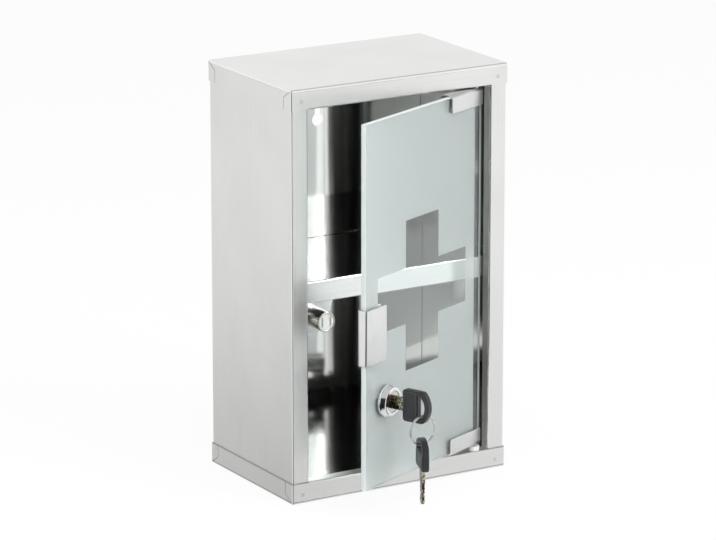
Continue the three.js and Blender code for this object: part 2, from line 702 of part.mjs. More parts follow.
function handlePieces() {
  const group = new THREE.Group();
  const half = HANDLE_SHEET / 2;
  const path = [
    [HANDLE_INNER_EDGE, -HANDLE_FRONT - half],
    [HANDLE_OUTER_EDGE + half, -HANDLE_FRONT - half],
    [HANDLE_OUTER_EDGE + half, HANDLE_REAR + half],
    [HANDLE_INNER_EDGE, HANDLE_REAR + half],
  ];
  const top = HANDLE_BOTTOM + HANDLE_HEIGHT;
  const grip = extruded(foldedOutline(path, HANDLE_SHEET, HANDLE_FOLD), HANDLE_BOTTOM, top);
  group.add(piece('handle_clip', grip, SATIN_STEEL));
  const left = GLASS_FREE_EDGE + PAD_MARGIN;
  const right = HANDLE_INNER_EDGE - PAD_MARGIN;
  const near = {
    handle_front_pad: -GLASS_FACE - PAD_GAP - PAD_THICKNESS,
    handle_rear_pad: FROST_FAR + PAD_GAP,
  };
  for (const [name, y] of Object.entries(near)) {
    const pad = block([left, y, HANDLE_BOTTOM + PAD_MARGIN], [right, y + PAD_THICKNESS, top - PAD_MARGIN]);
    group.add(piece(name, pad, CLEAR_RUBBER));
  }
  return group;
}

// Lock body: a bezel in front of the glass, and a barrel through it with a bore for the plug.
function lockHousing() {
  const bore = PLUG_RADIUS + LOCK_FIT;
  const rim = bore + PLUG_RIM;
  const rimSeat = PLUG_FACE - PLUG_RIM_DEPTH - LOCK_FIT;
  const edge = BEZEL_DIAMETER / 2;
  const round = [];
  for (let step = 0; step <= FOLD_STEPS; step++) {
    const turn = (step / FOLD_STEPS) * (Math.PI / 2);
    const radius = edge - BEZEL_ROUND + BEZEL_ROUND * Math.cos(turn);
    round.push([radius, BEZEL_FACE - BEZEL_ROUND + BEZEL_ROUND * Math.sin(turn)]);
  }
  return turned([
    [bore, BARREL_END],
    [BARREL_RADIUS, BARREL_END],
    [BARREL_RADIUS, BEZEL_BACK],
    [edge, BEZEL_BACK],
    ...round,
    [rim, BEZEL_FACE],
    [rim, rimSeat],
    [bore, rimSeat],
  ]);
}

function washer(inner, outer, from, to) {
  return turned([[inner, from], [outer, from], [outer, to], [inner, to]]);
}

function lockNut() {
  const corner = NUT_FLATS / 2 / Math.cos(Math.PI / HEXAGON_SIDES);
  const hexagon = bar(corner, NUT_FACE - NUT_THICKNESS, NUT_FACE, HEXAGON_SIDES);
  const hole = bar(BARREL_RADIUS + LOCK_FIT, NUT_FACE - 2 * NUT_THICKNESS, NUT_FACE + NUT_THICKNESS);
  return cut(hexagon, hole);
}

function waferPlaces() {
  return Array.from({ length: WAFER_COUNT }, (_, index) => PLUG_FACE - WAFER_FIRST - index * WAFER_PITCH);
}

function lockPlug() {
  const rim = PLUG_RADIUS + PLUG_RIM;
  const square = PLUG_SQUARE / 2;
  const body = join(
    bar(PLUG_RADIUS, PLUG_END, PLUG_FACE - PLUG_RIM_DEPTH / 2),
    bar(rim, PLUG_FACE - PLUG_RIM_DEPTH, PLUG_FACE),
    block([-square, -square, TAIL_END], [square, square, PLUG_END + PLUG_TAIL]),
  );
  const across = BLADE_THICKNESS / 2 + LOCK_FIT;
  const up = BLADE_HEIGHT / 2 + LOCK_FIT;
  const keyway = block([-across, -up, PLUG_FACE - KEYWAY_DEPTH], [across, up, BEZEL_FACE]);
  const wide = WAFER_WIDTH / 2 + LOCK_FIT;
  const thick = WAFER_THICKNESS / 2 + SCREW_FIT;
  const slots = waferPlaces().map((z) => block([-wide, -rim, z - thick], [wide, rim, z + thick]));
  const screwDepth = TAIL_END + CAM_SCREW_GRIP + LOCK_FIT;
  const screwHole = bar(CAM_SCREW_DIAMETER / 2 + SCREW_FIT, 2 * TAIL_END, screwDepth);
  return cut(body, keyway, screwHole, ...slots);
}

function lockWafer(z) {
  const wide = WAFER_WIDTH / 2;
  const tall = Math.sqrt((PLUG_RADIUS - SCREW_FIT) ** 2 - wide ** 2);
  const outline = rectangle(-wide, wide, -tall, tall);
  const up = tall - WAFER_RIM;
  const across = BLADE_THICKNESS / 2 + LOCK_FIT;
  outline.holes.push(rectangle(-across, across, -up, up));
  return extruded(outline, z - WAFER_THICKNESS / 2, z + WAFER_THICKNESS / 2);
}

// Cranked cam: its hub sits on the plug's square tail, and its tip steps forward to just behind
// the stile's return.
function lockCam() {
  const path = [
    [CAM_HEEL, CAM_HUB],
    [-CAM_CRANK_START, CAM_HUB],
    [-CAM_CRANK_START - CAM_CRANK_RUN, CAM_TIP],
    [-CAM_REACH, CAM_TIP],
  ];
  const strip = extrudedAlongX(foldedOutline(path, CAM_SHEET, CAM_FOLD), -CAM_WIDTH / 2, CAM_WIDTH / 2);
  const square = PLUG_SQUARE / 2 + LOCK_FIT;
  return cut(strip, block([-square, -square, CAM_HUB - CAM_SHEET], [square, square, CAM_HUB + CAM_SHEET]));
}

// Blade outline as (z, y): a tang in the head, a neck with the shoulder at Z 0, then the cut blade.
function keyBlade() {
  const tall = BLADE_HEIGHT / 2;
  const neck = NECK_HEIGHT / 2;
  const cuts = BITTING.flatMap((depth, index) => {
    const z = KEY_SEAT - WAFER_FIRST - index * WAFER_PITCH;
    return [
      [z + BITTING_WIDTH / 2 + depth, tall],
      [z + BITTING_WIDTH / 2, tall - depth],
      [z - BITTING_WIDTH / 2, tall - depth],
      [z - BITTING_WIDTH / 2 - depth, tall],
    ];
  });
  const upper = [
    [NECK_LENGTH + TANG_LENGTH, neck],
    [0, neck],
    [0, tall],
    ...cuts,
    [BLADE_POINT - BLADE_LENGTH, tall],
    [-BLADE_LENGTH, tall - BLADE_POINT],
  ];
  const lower = upper.map(([z, y]) => [z, -y]).reverse();
  const outline = new THREE.Shape([...upper, ...lower].map(([z, y]) => new THREE.Vector2(z, y)));
  return extrudedFlat(outline, BLADE_THICKNESS);
}

// Moulded head with a slot for the ring near its end and a pocket for the tang.
function keyHead() {
  const half = HEAD_HEIGHT / 2;
  const slotHalf = HEAD_SLOT_WIDTH / 2;
  const round = (HEAD_SLOT_HEIGHT - HEAD_SLOT_WIDTH) / 2;
  const outline = rectangle(NECK_LENGTH, HEAD_END, -half, half, HEAD_CORNER);
  const slot = new THREE.Path();
  slot.absarc(SLOT_Z, round, slotHalf, 0, Math.PI);
  slot.absarc(SLOT_Z, -round, slotHalf, Math.PI, 2 * Math.PI);
  outline.holes.push(slot);
  const moulding = new THREE.ExtrudeGeometry(outline, {
    depth: HEAD_THICKNESS - 2 * HEAD_EDGE,
    bevelThickness: HEAD_EDGE,
    bevelSize: HEAD_EDGE,
    bevelOffset: -HEAD_EDGE,
    bevelSegments: HEAD_EDGE_STEPS,
    curveSegments: HEAD_STEPS,
  });
  moulding.translate(0, 0, HEAD_EDGE - HEAD_THICKNESS / 2).rotateY(-Math.PI / 2);
  const thick = BLADE_THICKNESS / 2 + SCREW_FIT;
  const tall = NECK_HEIGHT / 2 + SCREW_FIT;
  const pocketEnd = NECK_LENGTH + TANG_LENGTH + SCREW_FIT;
  return cut(moulding, block([-thick, -tall, 0], [thick, tall, pocketEnd]));
}

function keyPieces(prefix) {
  const group = new THREE.Group();
  group.add(piece(`${prefix}_blade`, keyBlade(), CHROME));
  group.add(piece(`${prefix}_head`, keyHead(), BLACK_PLASTIC));
  return group;
}

// Split ring: nearly two turns of wire lying side by side, with one cross-over where the turns
// change sides.
// Modelled about Y, with the cross-over at +X and its top at +Z.
class SplitRingPath extends THREE.Curve {
  getPoint(share, target = new THREE.Vector3()) {
    const half = THREE.MathUtils.degToRad(RING_CROSSOVER) / 2;
    const turn = half + share * (4 * Math.PI - 2 * half);
    const crossing = THREE.MathUtils.smoothstep(turn, 2 * Math.PI - half, 2 * Math.PI + half);
    return target.set(
      RING_RADIUS * Math.cos(turn),
      crossing * RING_PITCH - RING_PITCH / 2,
      RING_RADIUS * Math.sin(turn),
    );
  }
}

function keyRing() {
  const path = new SplitRingPath();
  const section = new THREE.Shape();
  for (let side = 0; side < RING_SIDES; side++) {
    const turn = (2 * Math.PI * side) / RING_SIDES;
    const corner = [(RING_WIRE / 2) * Math.cos(turn), (RING_WIRE / 2) * Math.sin(turn)];
    section[side === 0 ? 'moveTo' : 'lineTo'](...corner);
  }
  const points = path.getPoints(RING_SAMPLES);
  const turnPoints = points.length / 2;
  const gaps = points.flatMap((point, index) => {
    const others = points.slice(index + Math.round(turnPoints / 2));
    return others.map((other) => point.distanceTo(other) - RING_WIRE);
  });
  console.log(`least gap between the ring's turns: ${Math.min(...gaps).toFixed(2)} mm`);
  return new THREE.ExtrudeGeometry(section, { steps: RING_STEPS, extrudePath: path, bevelEnabled: false });
}

// The ring hangs in the slot of the key in the lock, and the spare key hangs on the ring.
function hangingKeys() {
  const ring = new THREE.Group();
  ring.rotation.z = THREE.MathUtils.degToRad(RING_TWIST);
  const wire = piece('key_ring', keyRing(), CHROME);
  wire.position.z = -RING_RADIUS;
  const spare = keyPieces('spare_key');
  const slotEnd = SLOT_Z + HEAD_SLOT_WIDTH / 2;
  spare.position.z = -2 * RING_RADIUS + RING_SEAT - slotEnd;
  spare.rotation.z = THREE.MathUtils.degToRad(SPARE_KEY_TWIST);
  ring.add(wire, spare);
  return ring;
}

function lockPieces() {
  const group = new THREE.Group();
  group.position.set(LOCK_X, 0, LOCK_HEIGHT);
  group.rotation.x = Math.PI / 2;
  const gasketFace = GLASS_FACE + PAD_GAP;
  const hole = BARREL_RADIUS + LOCK_FIT;
  const gasket = washer(hole, BEZEL_DIAMETER / 2 - GASKET_INSET, gasketFace, gasketFace + GASKET_THICKNESS);
  const backWasher = washer(hole, WASHER_DIAMETER / 2, WASHER_FACE - WASHER_THICKNESS, WASHER_FACE);
  const camScrew = screw(
    CAM_SCREW_DIAMETER, CAM_SCREW_GRIP, CAM_SCREW_HEAD, CAM_SCREW_HEAD_HEIGHT,
  ).translate(0, 0, Math.min(TAIL_END, CAM_HUB - CAM_SHEET / 2) - PAD_GAP);
  group.add(piece('lock_housing', lockHousing(), CHROME));
  group.add(piece('lock_gasket', gasket, BLACK_PLASTIC));
  group.add(piece('lock_washer', backWasher, BRIGHT_STEEL));
  group.add(piece('lock_nut', lockNut(), BRIGHT_STEEL));
  group.add(piece('lock_plug', lockPlug(), NICKEL));
  group.add(piece('lock_cam', lockCam(), BRIGHT_STEEL));
  group.add(piece('cam_screw', camScrew, BRIGHT_STEEL));
  waferPlaces().forEach((z, index) => {
    group.add(piece(`lock_wafer_${index + 1}`, lockWafer(z), NICKEL));
  });
  const key = keyPieces('key');
  key.position.z = PLUG_FACE + KEY_SEAT;
  group.add(key);
  const chain = new THREE.Group();
  chain.rotation.x = -Math.PI / 2;
  chain.position.set(0, RING_SEAT - HEAD_SLOT_HEIGHT / 2, key.position.z + SLOT_Z);
  chain.add(hangingKeys());
  group.add(chain);
  return group;
}

function door() {
  const group = new THREE.Group();
  group.position.set(PIVOT_X, PIVOT_Y, 0);
  group.rotation.z = THREE.MathUtils.degToRad(DOOR_ANGLE);
  group.add(piece('door_glass', doorGlass(), GLASS));
  group.add(piece('door_frosting', doorFrosting(), FROST));
  const upperHinge = hingePieces('upper', 1);
  upperHinge.position.z = GLASS_TOP;
  const lowerHinge = hingePieces('lower', -1);
  lowerHinge.position.z = GLASS_BOTTOM;
  lowerHinge.rotation.y = Math.PI;
  group.add(upperHinge, lowerHinge, handlePieces(), lockPieces());
  return group;
}

export default new THREE.Group().add(carcass(), magneticCatch(), door());
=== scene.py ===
# %% [markdown]
# # A small steel cabinet with a frosted glass door
# The real cabinet is folded from thin stainless sheet. A glass pane on two pivot clips closes it, and a
# cam lock with a key goes through the pane.
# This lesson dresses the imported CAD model: its solids stay as the fixed frame, sheet pieces keep their
# CAD shape and get a finish, and the small turned, folded and moulded pieces are modelled again with
# softer edges.

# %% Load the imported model
import json
import math

import bmesh
import bpy
from mathutils import Matrix, Vector


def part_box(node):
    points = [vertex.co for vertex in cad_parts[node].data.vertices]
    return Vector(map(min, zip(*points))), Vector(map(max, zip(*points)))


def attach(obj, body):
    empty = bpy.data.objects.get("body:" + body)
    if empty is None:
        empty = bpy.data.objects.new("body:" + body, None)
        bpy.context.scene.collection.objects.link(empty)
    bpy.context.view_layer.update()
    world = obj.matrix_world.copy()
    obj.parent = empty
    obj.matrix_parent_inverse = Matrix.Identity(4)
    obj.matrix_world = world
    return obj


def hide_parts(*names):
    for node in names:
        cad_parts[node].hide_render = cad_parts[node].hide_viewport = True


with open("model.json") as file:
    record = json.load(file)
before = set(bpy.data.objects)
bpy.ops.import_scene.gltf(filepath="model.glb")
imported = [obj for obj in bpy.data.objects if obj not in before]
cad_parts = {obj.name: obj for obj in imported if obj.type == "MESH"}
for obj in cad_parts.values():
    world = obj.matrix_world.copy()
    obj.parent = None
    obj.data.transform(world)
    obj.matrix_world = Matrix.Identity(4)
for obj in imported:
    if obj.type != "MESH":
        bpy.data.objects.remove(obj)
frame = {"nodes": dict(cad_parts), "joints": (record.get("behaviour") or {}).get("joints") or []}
nodes = frame["nodes"]
joints = {joint["name"]: joint for joint in frame["joints"]}
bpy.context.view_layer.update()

# %% [markdown]
# ## Camera
# The photograph looks down a little on the left front corner through a long lens, so edges that are
# parallel on the cabinet stay almost parallel in the picture. A long focal length far away gives the
# same view. The direction is written as a turn and a rise, because two angles are easier to correct
# than a camera position.

# %% Place the camera
VIEW_TURN = math.radians(-30.9)
VIEW_RISE = math.radians(15.2)
VIEW_DISTANCE = 3.043
VIEW_AIM = Vector((0.0002, 0, 0.1462))
FOCAL_LENGTH_PIXELS = 4231
PICTURE_WIDTH_PIXELS = 716
SENSOR_WIDTH = 36

towards_camera = Vector((
    math.sin(VIEW_TURN) * math.cos(VIEW_RISE),
    -math.cos(VIEW_TURN) * math.cos(VIEW_RISE),
    math.sin(VIEW_RISE),
))
lens = bpy.data.cameras.new("view_camera")
lens.sensor_width = SENSOR_WIDTH
lens.lens = SENSOR_WIDTH * FOCAL_LENGTH_PIXELS / PICTURE_WIDTH_PIXELS
camera = bpy.data.objects.new("view_camera", lens)
camera.location = VIEW_AIM + towards_camera * VIEW_DISTANCE
camera.rotation_euler = towards_camera.to_track_quat("Z", "Y").to_euler()
bpy.context.scene.collection.objects.link(camera)
bpy.context.scene.camera = camera
print("focal length in mm:", round(lens.lens, 1))

# %% [markdown]
# ## Shader arithmetic
# Every finish below is a node tree. Placing nodes by hand hides the sums that they do, so one small
# class wraps a socket and lets Python's own operators add the Math nodes. Everything else comes from
# one method that takes the node's type, its settings, and the values or wires of its sockets.

# %% A socket that can be added and multiplied
MM = 0.001


class Wire:
    def __init__(self, tree, socket):
        self.tree = tree
        self.socket = socket

    def add(self, kind, settings=None, sockets=None, output=0):
        node = self.tree.nodes.new(kind)
        for name, value in (settings or {}).items():
            setattr(node, name, value)
        for name, value in (sockets or {}).items():
            if isinstance(value, Wire):
                self.tree.links.new(value.socket, node.inputs[name])
            else:
                node.inputs[name].default_value = value
        return Wire(self.tree, node.outputs[output])

    def sum(self, operation, *values):
        return self.add("ShaderNodeMath", {"operation": operation}, dict(enumerate(values)))

    def __add__(self, other):
        return self.sum("ADD", self, other)

    def __sub__(self, other):
        return self.sum("SUBTRACT", self, other)

    def __rsub__(self, other):
        return self.sum("SUBTRACT", other, self)

    def __mul__(self, other):
        return self.sum("MULTIPLY", self, other)

    def __abs__(self):
        return self.sum("ABSOLUTE", self)

    __radd__ = __add__
    __rmul__ = __mul__

    def step(self, start, end):
        """0 below start, 1 above end, and smooth between them."""
        sockets = {"Value": self, "From Min": start, "From Max": end}
        return self.add("ShaderNodeMapRange", {"interpolation_type": "SMOOTHSTEP"}, sockets)

    def noise(self, scale, detail=2):
        """Noise with about scale specks in a metre."""
        sockets = {"Vector": self, "Scale": scale, "Detail": detail}
        return self.add("ShaderNodeTexNoise", None, sockets)

    def grain(self, lengths, detail=2):
        """Noise whose specks have the given lengths along x, y and z, in millimetres."""
        sockets = {"Vector": self, "Scale": [length * MM for length in lengths]}
        return self.add("ShaderNodeMapping", {"vector_type": "TEXTURE"}, sockets).noise(1.0, detail)

    def blend(self, low, high):
        """A colour between low and high, each a colour or a wire; this wire is the share of high."""
        ends = [end if isinstance(end, Wire) else (*end, 1) for end in (low, high)]
        sockets = {"Factor": self, 6: ends[0], 7: ends[1]}
        return self.add("ShaderNodeMix", {"data_type": "RGBA"}, sockets, output=2)

    def xyz(self):
        split = self.add("ShaderNodeSeparateXYZ", None, {"Vector": self})
        return [Wire(self.tree, split.socket.node.outputs[axis]) for axis in range(3)]


print("wires can be added, subtracted and multiplied")

# %% [markdown]
# ## How a finish starts
# Steel, plastic and glass all start alike: a new material, its Principled shader, and the place of each
# point on the piece. The place could be a UV map, but object coordinates need no unwrapping and are real
# lengths, so a scratch can be given in millimetres. A finish then feeds the shader's sockets by name.

# %% Start a finish
SOFT_CONTRAST = (0.3, 0.7)


def start_finish(name):
    """A material, its Principled shader, and the wire of its object coordinates."""
    finish = bpy.data.materials.new(name)
    finish.use_nodes = True
    tree = finish.node_tree
    place = Wire(tree, None).add("ShaderNodeTexCoord", output="Object")
    return finish, tree.nodes["Principled BSDF"], place


def feed(shader, **sockets):
    """Sets or links the sockets of a shader by name."""
    for name, value in sockets.items():
        socket = shader.inputs[name.replace("_", " ")]
        if isinstance(value, Wire):
            value.tree.links.new(value.socket, socket)
        else:
            socket.default_value = value


def raised(height, depth):
    """A bump normal; a height of 1 stands depth millimetres above the surface."""
    sockets = {"Height": height, "Strength": 1.0, "Distance": depth * MM}
    return height.add("ShaderNodeBump", None, sockets, output="Normal")


def mottled(marks, clouds, share, contrast=SOFT_CONTRAST):
    """A tone of fine marks, which have the given share, and broad clouds."""
    return (marks * share + clouds * (1 - share)).step(*contrast)


def either(one, other):
    return one.sum("MAXIMUM", one, other)


def mix_shaders(finish, share, first, second):
    """Sends a mix of two shaders' output sockets to the surface; share is the part of the second."""
    tree = finish.node_tree
    sockets = {"Fac": share, 1: Wire(tree, first), 2: Wire(tree, second)}
    mixed = share.add("ShaderNodeMixShader", None, sockets)
    tree.links.new(mixed.socket, tree.nodes["Material Output"].inputs["Surface"])


print("shader helpers are ready")

# %% [markdown]
# ## Floor
# The cabinet was shot on white in a soft studio. The floor is plain white: the camera, mirrors and glass
# see it almost as a white page, while its diffuse part keeps the soft shadow. Lamps strong enough to make
# a plain floor white would wash the shadow out, so the page glows a little by itself. Bright steel also
# needs something dark to mirror, which in a studio is the unlit room around the photographer. The floor
# turns dark for mirrors on that side, and a little brighter to the front right for rays through the glass.

# %% Sides of the studio
# Each side is a level direction, and the cosines to it where the side starts and where it is full.
UNLIT_CORNER = ((-0.513, -0.858, 0), 0.76, 0.94)
BEHIND_LEFT = ((-0.513, 0.858, 0), 0.68, 0.84)
FRONT_RIGHT = ((0.513, -0.858, 0), 0.3, 0.7)


def level_part(place):
    return place.add("ShaderNodeVectorMath", {"operation": "MULTIPLY"}, {0: place, 1: (1, 1, 0)})


def towards(place, direction, start, end):
    """A mask of the places that lie on one side of the studio."""
    heading = place.add("ShaderNodeVectorMath", {"operation": "NORMALIZE"}, {0: level_part(place)})
    sockets = {0: heading, 1: direction}
    cosine = place.add("ShaderNodeVectorMath", {"operation": "DOT_PRODUCT"}, sockets, output="Value")
    return cosine.step(start, end)


def kinds_of_ray(wire):
    """Masks of the rays from the camera, from a mirror and through glass."""
    path = wire.add("ShaderNodeLightPath").socket.node.outputs
    kinds = ("Is Camera Ray", "Is Glossy Ray", "Is Transmission Ray")
    return [Wire(wire.tree, path[kind]) for kind in kinds]


print("the unlit corner lies towards", UNLIT_CORNER[0])

# %% White page
PAGE_WHITE = 0.86
PAGE_GLOW = {"camera": 0.9, "mirror": 0.9, "glass": 0.8}
FRONT_LEFT_FOLD = (-0.088, -0.058, 0)
MIRROR_GAIN = 0.045
GLASS_GAIN = 0.15
UNLIT_PAGE_LOSS = 0.98
BEHIND_SHADE = 0.12
NEAR_REACH = 0.8
NEAR_SHADE_AHEAD = 0.26
NEAR_SHADE_BEHIND = 0.32

page, shader, place = start_finish("white_page")
feed(shader, Base_Color=(PAGE_WHITE, PAGE_WHITE, PAGE_WHITE, 1), Roughness=0.9, Specular_IOR_Level=0.1)
to_camera, to_mirror, to_glass = kinds_of_ray(place)
spot = place.add("ShaderNodeVectorMath", {"operation": "SUBTRACT"}, {0: place, 1: FRONT_LEFT_FOLD})
distance = place.add("ShaderNodeVectorMath", {"operation": "LENGTH"}, {0: level_part(spot)}, output="Value")
unlit = towards(spot, *UNLIT_CORNER)
behind = towards(spot, *BEHIND_LEFT)
ahead = towards(spot, *FRONT_RIGHT)
# Painted shade for mirrors: the page is darker behind the cabinet to the left, and darker still close to it,
# where its shadow falls.
near = 1 - distance.step(0, NEAR_REACH)
shade = behind * BEHIND_SHADE + near * (ahead * NEAR_SHADE_AHEAD + behind * NEAR_SHADE_BEHIND)
strength = 1 + to_glass * GLASS_GAIN * ahead + to_mirror * (MIRROR_GAIN - shade)
strength = strength * (1 - unlit * to_mirror * UNLIT_PAGE_LOSS)
white = place.add("ShaderNodeEmission", None, {"Color": (1, 1, 1, 1), "Strength": strength})
share = to_camera * PAGE_GLOW["camera"] + to_glass * PAGE_GLOW["glass"] + to_mirror * PAGE_GLOW["mirror"]
mix_shaders(page, either(share, unlit * to_mirror), shader.outputs[0], white.socket)
print("the page glows for:", ", ".join(PAGE_GLOW))

# %% Lay the floor
FLOOR_HALF_WIDTH = 8
FLOOR_DROP = 0.0004

sheet = bmesh.new()
bmesh.ops.create_grid(sheet, x_segments=1, y_segments=1, size=FLOOR_HALF_WIDTH)
floor_mesh = bpy.data.meshes.new("floor")
sheet.to_mesh(floor_mesh)
sheet.free()
floor = bpy.data.objects.new("floor", floor_mesh)
floor.location.z = -FLOOR_DROP
floor.data.materials.append(page)
bpy.context.scene.collection.objects.link(floor)
print("floor:", len(floor_mesh.polygons), "face")

# %% [markdown]
# ## Sky
# White walls stand round a studio, with a darker roof above them. Real walls would stand in the way of
# other views, so the sky does their work. It lights the cabinet evenly, and the camera sees it white.
# Mirrors see it dark round the photographer and dimmer under the roof. Rays through the glass door see a
# bright softbox to the front right, which makes the frosting glow.

# %% Sky
SKY_LIGHT = 0.62
SOFTBOX_GAIN = 2.3
SKY_MIRROR_GAIN = 2 * MIRROR_GAIN
UNLIT_SKY_LOSS = 0.97
UNLIT_TOP = (0.35, 0.6)
ROOF_EDGE = (0.44, 0.58)
ROOF_LOSS = 0.45

world = bpy.data.worlds.new("studio")
world.use_nodes = True
bpy.context.scene.world = world
sky = world.node_tree
direction = Wire(sky, None).add("ShaderNodeTexCoord", output="Generated")
rise = direction.xyz()[2]
to_camera, to_mirror, to_glass = kinds_of_ray(direction)
unlit = towards(direction, *UNLIT_CORNER) * (1 - rise.step(*UNLIT_TOP))
roof = rise.step(*ROOF_EDGE) * ROOF_LOSS
seen = to_camera + to_mirror + to_glass
seen = seen.sum("MINIMUM", seen, 1.0)
softbox = to_glass * towards(direction, *FRONT_RIGHT) * SOFTBOX_GAIN
gain = 1 + softbox + to_mirror * SKY_MIRROR_GAIN
dimmed = (1 - to_mirror * unlit * UNLIT_SKY_LOSS) * (1 - to_mirror * roof)
level = SKY_LIGHT * (1 - seen) + seen * gain * dimmed
background = sky.nodes["Background"]
background.inputs["Color"].default_value = (1, 1, 1, 1)
sky.links.new(level.socket, background.inputs["Strength"])
print("light of the sky on the cabinet:", SKY_LIGHT)

# %% [markdown]
# ## Lamps
# Even light alone makes the cabinet flat. Four softboxes give its faces different greys: the strongest
# from the front right, weaker ones from above, from the left and from the photographer's side. A softbox
# is a lit square, so area lamps stand in for them. Mirrors don't see them, because squares of light in the
# steel would hide its brushing.

# %% Lamps
# Each lamp has its place and its width in metres, and its power in watts.
LAMPS = {
    "overhead_softbox": ((-0.3, -0.2, 1.9), 1.6, 10),
    "front_softbox": ((0.9, -1.7, 1.3), 1.2, 28),
    "left_softbox": ((-1.9, -0.3, 0.7), 1.4, 10),
    "key_softbox": ((-0.7, -1.3, 1.3), 1.3, 8),
}
for name, (spot, size, watts) in LAMPS.items():
    lamp = bpy.data.lights.new(name, "AREA")
    lamp.size = size
    lamp.energy = watts
    holder = bpy.data.objects.new(name, lamp)
    holder.location = spot
    holder.visible_glossy = False
    holder.rotation_euler = (Vector(spot) - VIEW_AIM).to_track_quat("Z", "Y").to_euler()
    bpy.context.scene.collection.objects.link(holder)
bpy.context.scene.view_settings.view_transform = "Standard"
print("lamps:", ", ".join(LAMPS))

# %% [markdown]
# ## Places on the sheet
# The carcass is folded from one kind of sheet, which looks different where it is outside, inside, folded
# or cut. Each place could be a material slot of its own, but the CAD faces don't end where the finish
# changes. Masks on object coordinates do, so each mask below is 1 in one kind of place and 0 elsewhere.

# %% Masks of the top cover and the bottom tray
MASK_BLUR = 0.1
MIDDLE_HEIGHT = 150
COVER_FACE = 149.6
COVER_FLANGE = 148
COVER_FOLD = (87.9, 57.9, 148.9)
COVER_FLANGE_END = 135.5
OPENING_SIDE = 75
TWO_OF_THREE = (1.3, 1.7)


def beyond(wire, limit, blur=MASK_BLUR):
    """1 where a coordinate has passed the limit in millimetres."""
    return wire.step((limit - blur) * MM, (limit + blur) * MM)


def from_middle(z):
    return abs(z - MIDDLE_HEIGHT * MM)


def nowhere(x, y, z):
    return 0 * x


def cover_outside(x, y, z):
    return either(beyond(from_middle(z), COVER_FACE), 1 - beyond(from_middle(z), COVER_FLANGE))


def cover_fold(x, y, z):
    """Two faces meet in a fold, so two of the three coordinates are at their outer end there."""
    spot = (abs(x), abs(y), from_middle(z))
    outer = [beyond(wire, limit) for wire, limit in zip(spot, COVER_FOLD)]
    return (outer[0] + outer[1] + outer[2]).step(*TWO_OF_THREE)


# Along the tray's top edge: the dull cut edge, and a painted shadow line that reaches onto the outer face.
def cover_edge(x, y, z):
    return (1 - beyond(from_middle(z), COVER_FLANGE_END)) * beyond(abs(x), OPENING_SIDE)


def tray_floor(x, y, z):
    return 1 - cover_outside(x, y, z)


print("covers fold at", COVER_FOLD, "mm from the middle")

# %% Masks of the side panels, the back panel and the shelf
PANEL_FACE = 87.75
STILE_REAR = -48
PANEL_FOLD_DEPTH = 57.05
PANEL_FOLD_SIDE = 87.05
STILE_FOLD_SIDE = 76.1
BACK_FACE = 57
LIP_REAR = -48
LIP_END = 143.2
LIP_FOLD_REAR = -47.4
LIP_FOLD_BOTTOM = 157.3
SHELF_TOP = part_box("shelf")[1][2] / MM
SHELF_TOP_FRONT = -47
HALF_SHEET = 0.4


def panel_outside(x, y, z):
    return either(beyond(abs(x), PANEL_FACE), 1 - beyond(y, STILE_REAR))


def panel_fold(x, y, z):
    upright = either(beyond(abs(x), PANEL_FOLD_SIDE), 1 - beyond(abs(x), STILE_FOLD_SIDE))
    return beyond(abs(y), PANEL_FOLD_DEPTH) * upright


def back_outside(x, y, z):
    return beyond(y, BACK_FACE)


def lip_outside(x, y, z):
    return 1 - beyond(y, LIP_REAR)


def lip_fold(x, y, z):
    return (1 - beyond(y, LIP_FOLD_REAR)) * beyond(z, LIP_FOLD_BOTTOM)


def lip_edge(x, y, z):
    return 1 - beyond(z, LIP_END)


def shelf_top(x, y, z):
    return beyond(y, SHELF_TOP_FRONT) * beyond(z, SHELF_TOP - HALF_SHEET)


print("shelf top at", round(SHELF_TOP, 1), "mm")

# %% [markdown]
# ## Stainless sheet
# The outside of the sheet is brushed: fine parallel scratches that blur reflections. The inside is its
# bright side, nearly a mirror, and a little wavy. Folds are rubbed smooth by the press, so they mirror
# sharply. Sheared edges are dull and darker, and along the top edge of the tray the dark band is also a
# painted shadow line. On the shelf and on the floor of the tray, where things stand, the sheet is a little
# duller and painted darker as shade. One function makes it all from the masks, because only colour,
# roughness and relief change from place to place.

# %% Brushed outside, bright inside
BRUSH_FINE = 0.35
BRUSH_LONG = 60
WAVE_LENGTHS = (45, 45, 120)
WAVE_DEPTH = 0.2
SCRATCH_RELIEF = 0.03
SHEET_CLOUDS = 14
SCRATCH_SHARE = 0.5
STEEL_DARK = (0.735, 0.737, 0.727)
STEEL_LIGHT = (0.82, 0.82, 0.805)
BRIGHT_DARK = (0.80, 0.80, 0.785)
BRIGHT_LIGHT = (0.87, 0.87, 0.855)
# Painted shade on the shelf top and the tray floor, where things stand.
SHADED_FLOOR_DARK = (0.40, 0.40, 0.39)
SHADED_FLOOR_LIGHT = (0.48, 0.48, 0.47)
# Sheared edges are darker; on the tray's top edge this tone is also a painted shadow line.
SHEARED_AND_SHADED = (0.56, 0.56, 0.55)
ROUGH = {"bright": 0.035, "brushed": 0.2, "sheared_and_shaded": 0.3, "dull_and_shaded": 0.05}
CLOUD_ROUGH = 0.03
SCRATCH_ROUGH = 0.03
BRUSHED_SCRATCH_ROUGH = 0.12


